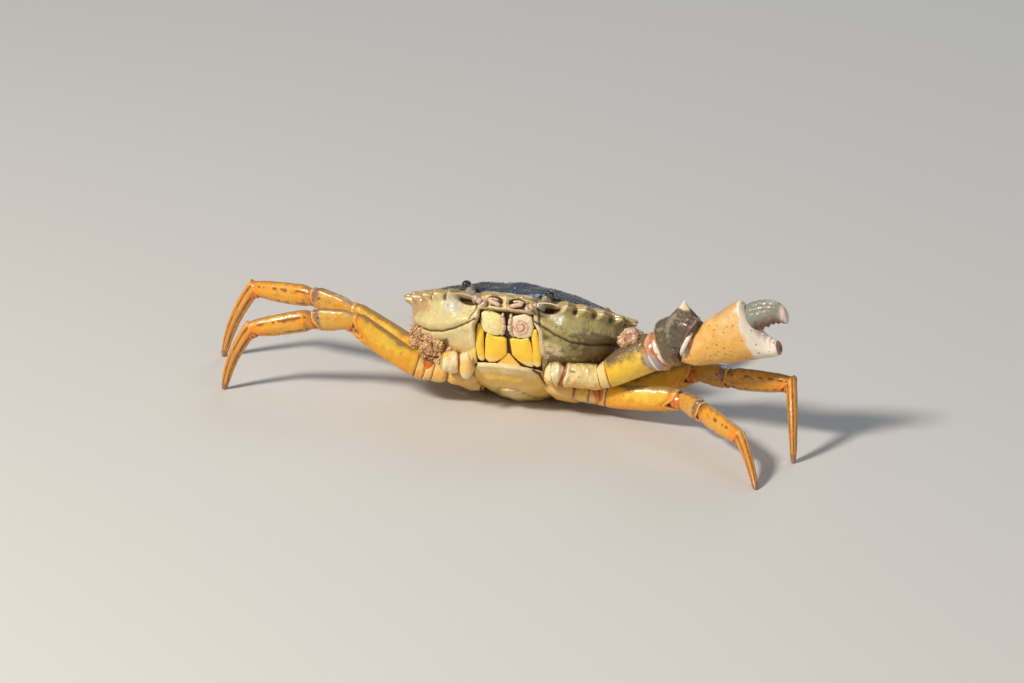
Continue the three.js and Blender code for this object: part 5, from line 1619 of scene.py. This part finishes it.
def relief_group():
    """Height of the finest grain: pits, pores and a faint weave of wrinkles."""
    tree, given, made = effect("fine_relief", "Height", ("Pit Scale", "Float", 1400), ("Pits", "Float", 0.5),
                               ("Wrinkle Scale", "Float", 600))
    pits = add(tree, "ShaderNodeTexVoronoi", {"Vector": given["Vector"], "Scale": given["Pit Scale"]})
    wrinkles = add(tree, "ShaderNodeTexNoise", {"Vector": given["Vector"], "Scale": given["Wrinkle Scale"],
                                                "Detail": 6.0, "Roughness": 0.6, "Distortion": 0.4})
    height = maths(tree, "MULTIPLY_ADD", ramp(tree, pits, 0.0, 0.5), given["Pits"], wrinkles)
    return close_tree(tree, height, made)


COAT_ROUGHNESS = 0.12
SCATTER_RADIUS = (0.0012, 0.0007, 0.0003)  # for red, green and blue light, in metres


class Finishes:
    """The shared effects, and a way to build each material from them."""

    def __init__(self):
        self.blotches = blotch_group()
        self.speckles = speckle_group()
        self.ragged = ragged_group()
        self.relief = relief_group()

    def make(self, name, base, patch, layers=(), patch_scale=180, cover=0.45, dots=None, dot_scale=650,
             dot_size=0.26, dot_cover=0.35, roughness=0.36, swing=0.16, coat=0.35, pits=0.5,
             pit_scale=1500, wrinkle_scale=500, bump=0.35, depth=0.00008, subsurface=0.06):
        """base and patch are the two main colours; layers are (mark, colour, strength, raggedness)."""
        material = bpy.data.materials.new(name)
        material.use_nodes = True
        tree = material.node_tree
        shader = tree.nodes["Principled BSDF"]
        vector = add(tree, "ShaderNodeAttribute", {}, attribute_name="flow").outputs["Vector"]

        def shared(group, **inputs):
            values = {key.replace("_", " ").title(): value for key, value in inputs.items()}
            return add(tree, "ShaderNodeGroup", {"Vector": vector, **values}, node_tree=group)

        def over(colour, tint, mask, strength=1.0):
            amount = maths(tree, "MULTIPLY", mask, strength)
            solid = [(*value, 1) if isinstance(value, tuple) else value for value in (colour, tint)]
            return add(tree, "ShaderNodeMix", {"Factor": amount, 6: solid[0], 7: solid[1]},
                       data_type="RGBA").outputs[2]

        patches = shared(self.blotches, scale=patch_scale, cover=cover, softness=0.16)
        fine = shared(self.blotches, scale=patch_scale * 5.3, cover=0.4, softness=0.2)
        colour = over(base, patch, patches)
        colour = over(colour, tuple(c * 0.78 for c in base), fine, 0.5)
        for mark, tint, strength, raggedness in layers:
            value = add(tree, "ShaderNodeAttribute", {}, attribute_name=mark).outputs["Fac"]
            edge = shared(self.ragged, mark=value, scale=patch_scale * 2.6, raggedness=raggedness)
            colour = over(colour, tint, edge, strength)
        if dots:
            spots = shared(self.speckles, scale=dot_scale, size=dot_size, cover=dot_cover)
            colour = over(colour, dots, spots, 0.8)
        gloss = ramp(tree, fine, 0.0, 1.0, roughness - swing / 2, roughness + swing / 2, "LINEAR")
        height = shared(self.relief, pit_scale=pit_scale, pits=pits, wrinkle_scale=wrinkle_scale)
        normal = add(tree, "ShaderNodeBump", {"Height": height, "Strength": bump, "Distance": depth})
        tree.links.new(colour, shader.inputs["Base Color"])
        tree.links.new(gloss.outputs[0], shader.inputs["Roughness"])
        tree.links.new(normal.outputs[0], shader.inputs["Normal"])
        for key, value in {"Coat Weight": coat, "Coat Roughness": COAT_ROUGHNESS,
                           "Subsurface Weight": subsurface, "Subsurface Radius": SCATTER_RADIUS,
                           "Subsurface Scale": 1.0}.items():
            shader.inputs[key].default_value = value
        return material


# Dark brown of grooves; on the body wall it also paints shade in the pits, the mouth's sunk space and under
# the notches.
SEAM_AND_SHADE_BROWN = (0.075, 0.028, 0.010)


def make_finishes():
    make = Finishes().make
    leg_seam = ("seam_and_shade", (0.2, 0.06, 0.015), 0.85, 0.5)
    return {
        # The shell's blue-black base and the blue of its stain layer are a painted reflection of blue sky.
        "carapace": make("shell_back", (0.010, 0.020, 0.036), (0.030, 0.036, 0.030), [
            ("stain_and_painted_light", (0.008, 0.026, 0.062), 0.75, 1.0), ("blush", (0.07, 0.075, 0.035), 0.5, 0.8),
            ("seam_and_shade", (0.008, 0.010, 0.012), 0.8, 0.4), ("ridge_and_highlight", (0.30, 0.24, 0.11), 0.55, 0.9),
            ("tip", (0.50, 0.36, 0.15), 0.85, 0.7)], 150, 0.45, dots=(0.15, 0.15, 0.09), dot_scale=900,
            dot_cover=0.2, roughness=0.25, coat=0.5, pits=0.8, pit_scale=1200, bump=0.5, subsurface=0),
        # On the body wall the seam layer also paints shade in the pits, the mouth's sunk space and under the
        # notches, and the stain layer a shade low on the crab's left flank.
        "wall": make("body_wall", (0.64, 0.54, 0.24), (0.78, 0.63, 0.30), [
            ("dorsal", (0.36, 0.29, 0.10), 0.8, 0.5), ("blush", (0.86, 0.68, 0.36), 0.8, 0.5),
            ("tip", (0.55, 0.56, 0.48), 0.75, 0.9), ("stain_and_painted_light", (0.10, 0.055, 0.018), 0.8, 1.0),
            ("rust", (0.42, 0.20, 0.07), 0.7, 0.9), ("ridge_and_highlight", (0.84, 0.66, 0.38), 0.75, 0.7),
            ("seam_and_shade", SEAM_AND_SHADE_BROWN, 0.92, 0.4)], 210, 0.5, dots=(0.20, 0.11, 0.035), dot_scale=620,
            dot_size=0.2, dot_cover=0.35, roughness=0.42, coat=0.25, pits=0.8, pit_scale=1500, bump=0.7,
            depth=0.00012),
        # On the breastplate the ridge layer is a painted highlight on the raised top band, and the seam layer
        # a painted shade in the mouth's sunk space.
        "breast": make("breastplate", (0.78, 0.57, 0.20), (0.86, 0.68, 0.33), [
            ("tip", (0.86, 0.70, 0.40), 0.8, 0.5), ("blush", (0.84, 0.48, 0.06), 0.8, 0.7),
            ("ridge_and_highlight", (0.9, 0.74, 0.5), 0.6, 0.6), ("stain_and_painted_light", (0.34, 0.15, 0.045), 0.65, 1.0),
            ("rust", (0.34, 0.07, 0.018), 0.92, 0.4),
            ("seam_and_shade", (0.16, 0.05, 0.015), 0.92, 0.35)], 170, 0.5, dots=(0.45, 0.2, 0.06), dot_scale=480,
            dot_size=0.2, dot_cover=0.16, roughness=0.38, coat=0.25, pits=0.5, bump=0.6, depth=0.00012,
            subsurface=0.1),
        "mouth_gold": make("mouth_gold", (0.88, 0.50, 0.035), (0.92, 0.60, 0.06), [
            ("blush", (0.93, 0.56, 0.04), 0.8, 0.4), ("dorsal", (0.82, 0.62, 0.32), 0.8, 0.6),
            ("ridge_and_highlight", (0.93, 0.68, 0.16), 0.6, 0.6), ("seam_and_shade", SEAM_AND_SHADE_BROWN, 0.9, 0.3)], 220, 0.5,
            roughness=0.36, pits=0.35, bump=0.35, subsurface=0.12),
        "mouth_pale": make("mouth_pale", (0.88, 0.69, 0.22), (0.92, 0.78, 0.40), [
            ("tip", (0.85, 0.62, 0.44), 0.9, 0.5), ("stain_and_painted_light", (0.68, 0.40, 0.26), 0.6, 0.8),
            ("ridge_and_highlight", (0.93, 0.78, 0.52), 0.7, 0.6), ("seam_and_shade", (0.30, 0.13, 0.06), 0.85, 0.5)], 260, 0.5,
            roughness=0.42, coat=0.25, pits=0.8, bump=0.8, depth=0.00014, subsurface=0.1),
        "base": make("leg_root_plates", (0.84, 0.60, 0.22), (0.84, 0.44, 0.08), [
            ("ridge_and_highlight", (0.9, 0.74, 0.44), 0.6, 0.6), leg_seam], 210, 0.5, dots=(0.42, 0.14, 0.03),
            dot_scale=520, dot_size=0.2, dot_cover=0.25, roughness=0.38, coat=0.25, bump=0.5, depth=0.00012,
            subsurface=0.1),
        "merus": make("leg_yellow", (0.86, 0.43, 0.015), (0.88, 0.58, 0.06), [
            ("tip", (0.86, 0.64, 0.26), 0.7, 0.5), ("blush", (0.82, 0.28, 0.012), 0.62, 0.8),
            ("dorsal", (0.20, 0.13, 0.06), 0.8, 0.7), ("stain_and_painted_light", (0.50, 0.24, 0.05), 0.5, 0.9),
            ("ridge_and_highlight", (0.86, 0.50, 0.14), 0.4, 0.6), leg_seam], 130, 0.5, dots=(0.09, 0.045, 0.02),
            dot_scale=520, dot_size=0.17, dot_cover=0.2, roughness=0.42, swing=0.26, coat=0.2,
            pits=0.5, bump=0.7, depth=0.00014, subsurface=0.1),
        "carpus": make("leg_knee", (0.68, 0.30, 0.025), (0.66, 0.37, 0.07), [
            ("dorsal", (0.25, 0.17, 0.07), 0.75, 0.8), ("blush", (0.78, 0.33, 0.03), 0.8, 0.6),
            ("stain_and_painted_light", (0.17, 0.095, 0.105), 0.75, 0.9), ("ridge_and_highlight", (0.78, 0.50, 0.18), 0.5, 0.6), leg_seam],
            230, 0.5, dots=(0.05, 0.045, 0.035), dot_scale=480, dot_size=0.2, dot_cover=0.28,
            roughness=0.38, swing=0.24, coat=0.28, bump=0.55, depth=0.00014),
        "propodus": make("leg_shank", (0.80, 0.32, 0.014), (0.74, 0.37, 0.045), [
            ("blush", (0.80, 0.25, 0.012), 0.85, 0.7), ("dorsal", (0.26, 0.15, 0.06), 0.7, 0.8),
            ("stain_and_painted_light", (0.20, 0.085, 0.025), 0.45, 1.0), ("ridge_and_highlight", (0.84, 0.46, 0.10), 0.45, 0.7), leg_seam],
            190, 0.5, dots=(0.1, 0.05, 0.03), dot_scale=560, dot_size=0.2, dot_cover=0.25,
            roughness=0.36, swing=0.26, coat=0.3, bump=0.55, depth=0.00014),
        "dactyl": make("leg_tip", (0.66, 0.26, 0.03), (0.54, 0.25, 0.05), [
            ("blush", (0.74, 0.29, 0.025), 0.6, 0.7), ("seam_and_shade", (0.13, 0.05, 0.018), 0.8, 0.6),
            ("ridge_and_highlight", (0.80, 0.40, 0.09), 0.6, 0.6), ("tip", (0.26, 0.15, 0.08), 0.85, 0.3)],
            220, 0.4, roughness=0.38, coat=0.3, wrinkle_scale=900, bump=0.45, depth=0.00012),
        "joint_skin": make("joint_skin", (0.62, 0.115, 0.01), (0.76, 0.26, 0.03), [
            ("ridge_and_highlight", (0.80, 0.30, 0.06), 0.5, 0.6), ("seam_and_shade", (0.26, 0.04, 0.012), 0.8, 0.6)],
            330, 0.5, roughness=0.32, coat=0.4, pits=0.2, bump=0.5, subsurface=0.2),
        "arm_skin": make("arm_joint_skin", (0.58, 0.20, 0.085), (0.72, 0.42, 0.27), [
            ("ridge_and_highlight", (0.85, 0.50, 0.30), 0.5, 0.6), ("seam_and_shade", (0.30, 0.07, 0.03), 0.8, 0.5),
            ("stain_and_painted_light", (0.34, 0.34, 0.36), 0.85, 0.6)], 300, 0.5, roughness=0.34, coat=0.35, pits=0.2,
            bump=0.6, depth=0.00014, subsurface=0.2),
        "arm_merus": make("arm_yellow", (0.86, 0.44, 0.02), (0.86, 0.60, 0.10), [
            ("tip", (0.86, 0.64, 0.3), 0.8, 0.4), ("blush", (0.88, 0.56, 0.03), 0.8, 0.6),
            ("dorsal", (0.12, 0.085, 0.055), 0.92, 0.5), ("ridge_and_highlight", (0.46, 0.38, 0.24), 0.4, 0.8), leg_seam],
            170, 0.5, dots=(0.16, 0.08, 0.03), dot_scale=520, dot_size=0.2, dot_cover=0.2,
            roughness=0.38, coat=0.28, pits=0.5, bump=0.6, depth=0.00014),
        "arm_carpus": make("arm_dark", (0.165, 0.105, 0.046), (0.070, 0.056, 0.040), [
            ("dorsal", (0.095, 0.080, 0.050), 0.5, 0.9), ("blush", (0.44, 0.25, 0.07), 0.75, 0.8),
            ("stain_and_painted_light", (0.13, 0.055, 0.045), 0.7, 0.9), ("ridge_and_highlight", (0.56, 0.48, 0.36), 0.4, 0.9),
            ("seam_and_shade", (0.05, 0.02, 0.012), 0.85, 0.4), ("tip", (0.84, 0.70, 0.48), 0.95, 0.4)],
            240, 0.5, dots=(0.42, 0.38, 0.30), dot_scale=1100, dot_size=0.22, dot_cover=0.25,
            roughness=0.32, coat=0.4, pits=0.7, bump=0.7, depth=0.00014),
        "palm": make("palm_peach", (0.82, 0.43, 0.10), (0.84, 0.54, 0.22), [
            ("blush", (0.84, 0.44, 0.06), 0.6, 0.7), ("dorsal", (0.52, 0.34, 0.18), 0.65, 0.8),
            ("tip", (0.86, 0.76, 0.64), 0.92, 0.6), ("ridge_and_highlight", (0.86, 0.62, 0.34), 0.4, 0.6),
            ("stain_and_painted_light", (0.30, 0.13, 0.06), 0.85, 0.5), ("seam_and_shade", (0.3, 0.1, 0.03), 0.7, 0.4)],
            150, 0.5, dots=(0.24, 0.10, 0.035), dot_scale=740, dot_size=0.22, dot_cover=0.55,
            roughness=0.36, swing=0.22, coat=0.28, pits=0.4, bump=0.5, depth=0.00014,
            subsurface=0.12),
        # The finger's pale ridge lines are painted highlights and its dark trough lines painted shade.
        "finger": make("finger_grey", (0.34, 0.31, 0.23), (0.24, 0.25, 0.19), [
            ("dorsal", (0.22, 0.24, 0.19), 0.6, 0.8), ("tip", (0.80, 0.64, 0.54), 0.9, 0.6),
            ("ridge_and_highlight", (0.62, 0.58, 0.47), 0.55, 0.7), ("seam_and_shade", (0.13, 0.13, 0.09), 0.6, 0.5),
            ("stain_and_painted_light", (0.17, 0.045, 0.028), 0.95, 0.5)], 240, 0.5, roughness=0.34, coat=0.35, bump=0.6,
            depth=0.00014),
        "sliver": make("joint_sliver", (0.86, 0.76, 0.62), (0.82, 0.66, 0.50), [
            ("ridge_and_highlight", (0.9, 0.84, 0.74), 0.5, 0.5)], 300, 0.4, roughness=0.26, coat=0.5, pits=0.2, bump=0.25),
        "stalk": make("eyestalk", (0.44, 0.38, 0.30), (0.16, 0.13, 0.11), [
            ("ridge_and_highlight", (0.72, 0.64, 0.52), 0.6, 0.5), ("stain_and_painted_light", (0.10, 0.07, 0.05), 0.7, 0.6),
            ("seam_and_shade", (0.12, 0.07, 0.05), 0.8, 0.4)], 520, 0.45, roughness=0.26, coat=0.6, bump=0.4),
        "cornea": make("eye_lens", (0.016, 0.013, 0.019), (0.034, 0.024, 0.028), [
            ("tip", (0.09, 0.07, 0.075), 0.5, 0.6)], 500, 0.4, roughness=0.07, swing=0.04, coat=1.0,
            pits=0.05, bump=0.03, subsurface=0),
        "feeler": make("feeler", (0.62, 0.40, 0.26), (0.74, 0.55, 0.38), [
            ("blush", (0.66, 0.43, 0.31), 0.6, 0.6), ("tip", (0.74, 0.56, 0.36), 0.6, 0.5),
            ("ridge_and_highlight", (0.82, 0.64, 0.46), 0.5, 0.6), ("seam_and_shade", (0.13, 0.05, 0.025), 0.88, 0.5)],
            420, 0.5, roughness=0.36, coat=0.35, bump=0.5, subsurface=0.12),
        # The cream spots of the ridge layer are painted highlights on the tuft.
        "crust": make("crusty_tuft", (0.60, 0.29, 0.10), (0.78, 0.48, 0.22), [
            ("stain_and_painted_light", (0.24, 0.09, 0.03), 0.75, 0.9), ("ridge_and_highlight", (0.90, 0.66, 0.40), 0.7, 0.8)], 420, 0.5,
            roughness=0.42, coat=0.35, pits=0.8, bump=0.8, subsurface=0.1),
        "knob": make("settled_knob", (0.64, 0.34, 0.17), (0.82, 0.56, 0.34), [
            ("stain_and_painted_light", (0.30, 0.13, 0.07), 0.6, 0.8), ("ridge_and_highlight", (0.80, 0.62, 0.46), 0.6, 0.7)], 420, 0.5,
            roughness=0.45, coat=0.3, pits=0.6, bump=0.6, subsurface=0.1),
        "bristle": make("bristle_brown", (0.16, 0.075, 0.028), (0.26, 0.13, 0.05), [], 700, 0.5,
                        roughness=0.5, coat=0.1, pits=0.1, bump=0.1, subsurface=0),
    }


# ---- The whole crab ----


def add_floor():
    mesh = bpy.data.meshes.new("floor")
    corners = [(x * FLOOR_HALF, y * FLOOR_HALF, 0) for x, y in ((-1, -1), (1, -1), (1, 1), (-1, 1))]
    mesh.from_pydata(corners, [], [(0, 1, 2, 3)])
    material = bpy.data.materials.new("floor")
    material.use_nodes = True
    shader = material.node_tree.nodes["Principled BSDF"].inputs
    shader["Base Color"].default_value = FLOOR_COLOUR
    shader["Roughness"].default_value = FLOOR_ROUGHNESS
    mesh.materials.append(material)
    floor = new_object("floor", mesh)


def build():
    finishes = make_finishes()
    carapace = add_piece("carapace_shell", carapace_skin(), finishes["carapace"], "carapace", "carapace")
    wall = add_piece("body_wall", wall_skin(), finishes["wall"], "flank",
                     "face", "flank_left", "flank_right")
    add_piece("breastplate", sternum_skin(), finishes["breast"], "breast", "sternum")
    add_piece("tail_flap", tail_skin(), finishes["breast"], "breast", "abdomen")
    add_eyes(finishes)
    add_feelers(finishes)
    add_mouth(finishes)
    merus, carpus, palm = add_arm(finishes)
    add_stump(finishes)
    for leg in LEGS:
        add_leg(finishes, *leg)
    beads = bead_tree()  # their spacing and size in mm, then the seed
    add_beads(beads, carapace, "carapace", 0.62, 0.2, 3)
    add_beads(beads, wall, "flank", 0.7, 0.17, 5)
    add_beads(beads, merus, "leg", 0.75, 0.2, 7)
    add_beads(beads, carpus, "claw_arm", 0.7, 0.2, 9)
    add_beads(beads, palm, "palm", 0.9, 0.17, 11)
    crust = add_piece("crusty_tufts", lumps_skin(CRUST_LUMPS, 91), finishes["crust"], "flank")
    knob = add_piece("settled_knob", lumps_skin(KNOB_LUMPS, 131), finishes["knob"], "flank")
    add_beads(beads, crust, "flank", 0.55, 0.34, 13)
    add_beads(beads, knob, "flank", 0.6, 0.26, 15)
    hairs = bristle_tree()  # their spacing, length, thickness and lean in mm, then the seed
    add_bristles(hairs, wall, "flank", finishes["bristle"], 0.34, 2.0, 0.05, 0.5, 17)
    add_bristles(hairs, crust, "flank", finishes["bristle"], 0.7, 1.5, 0.045, 0.5, 19)


set_camera()
set_light()
add_floor()
build()
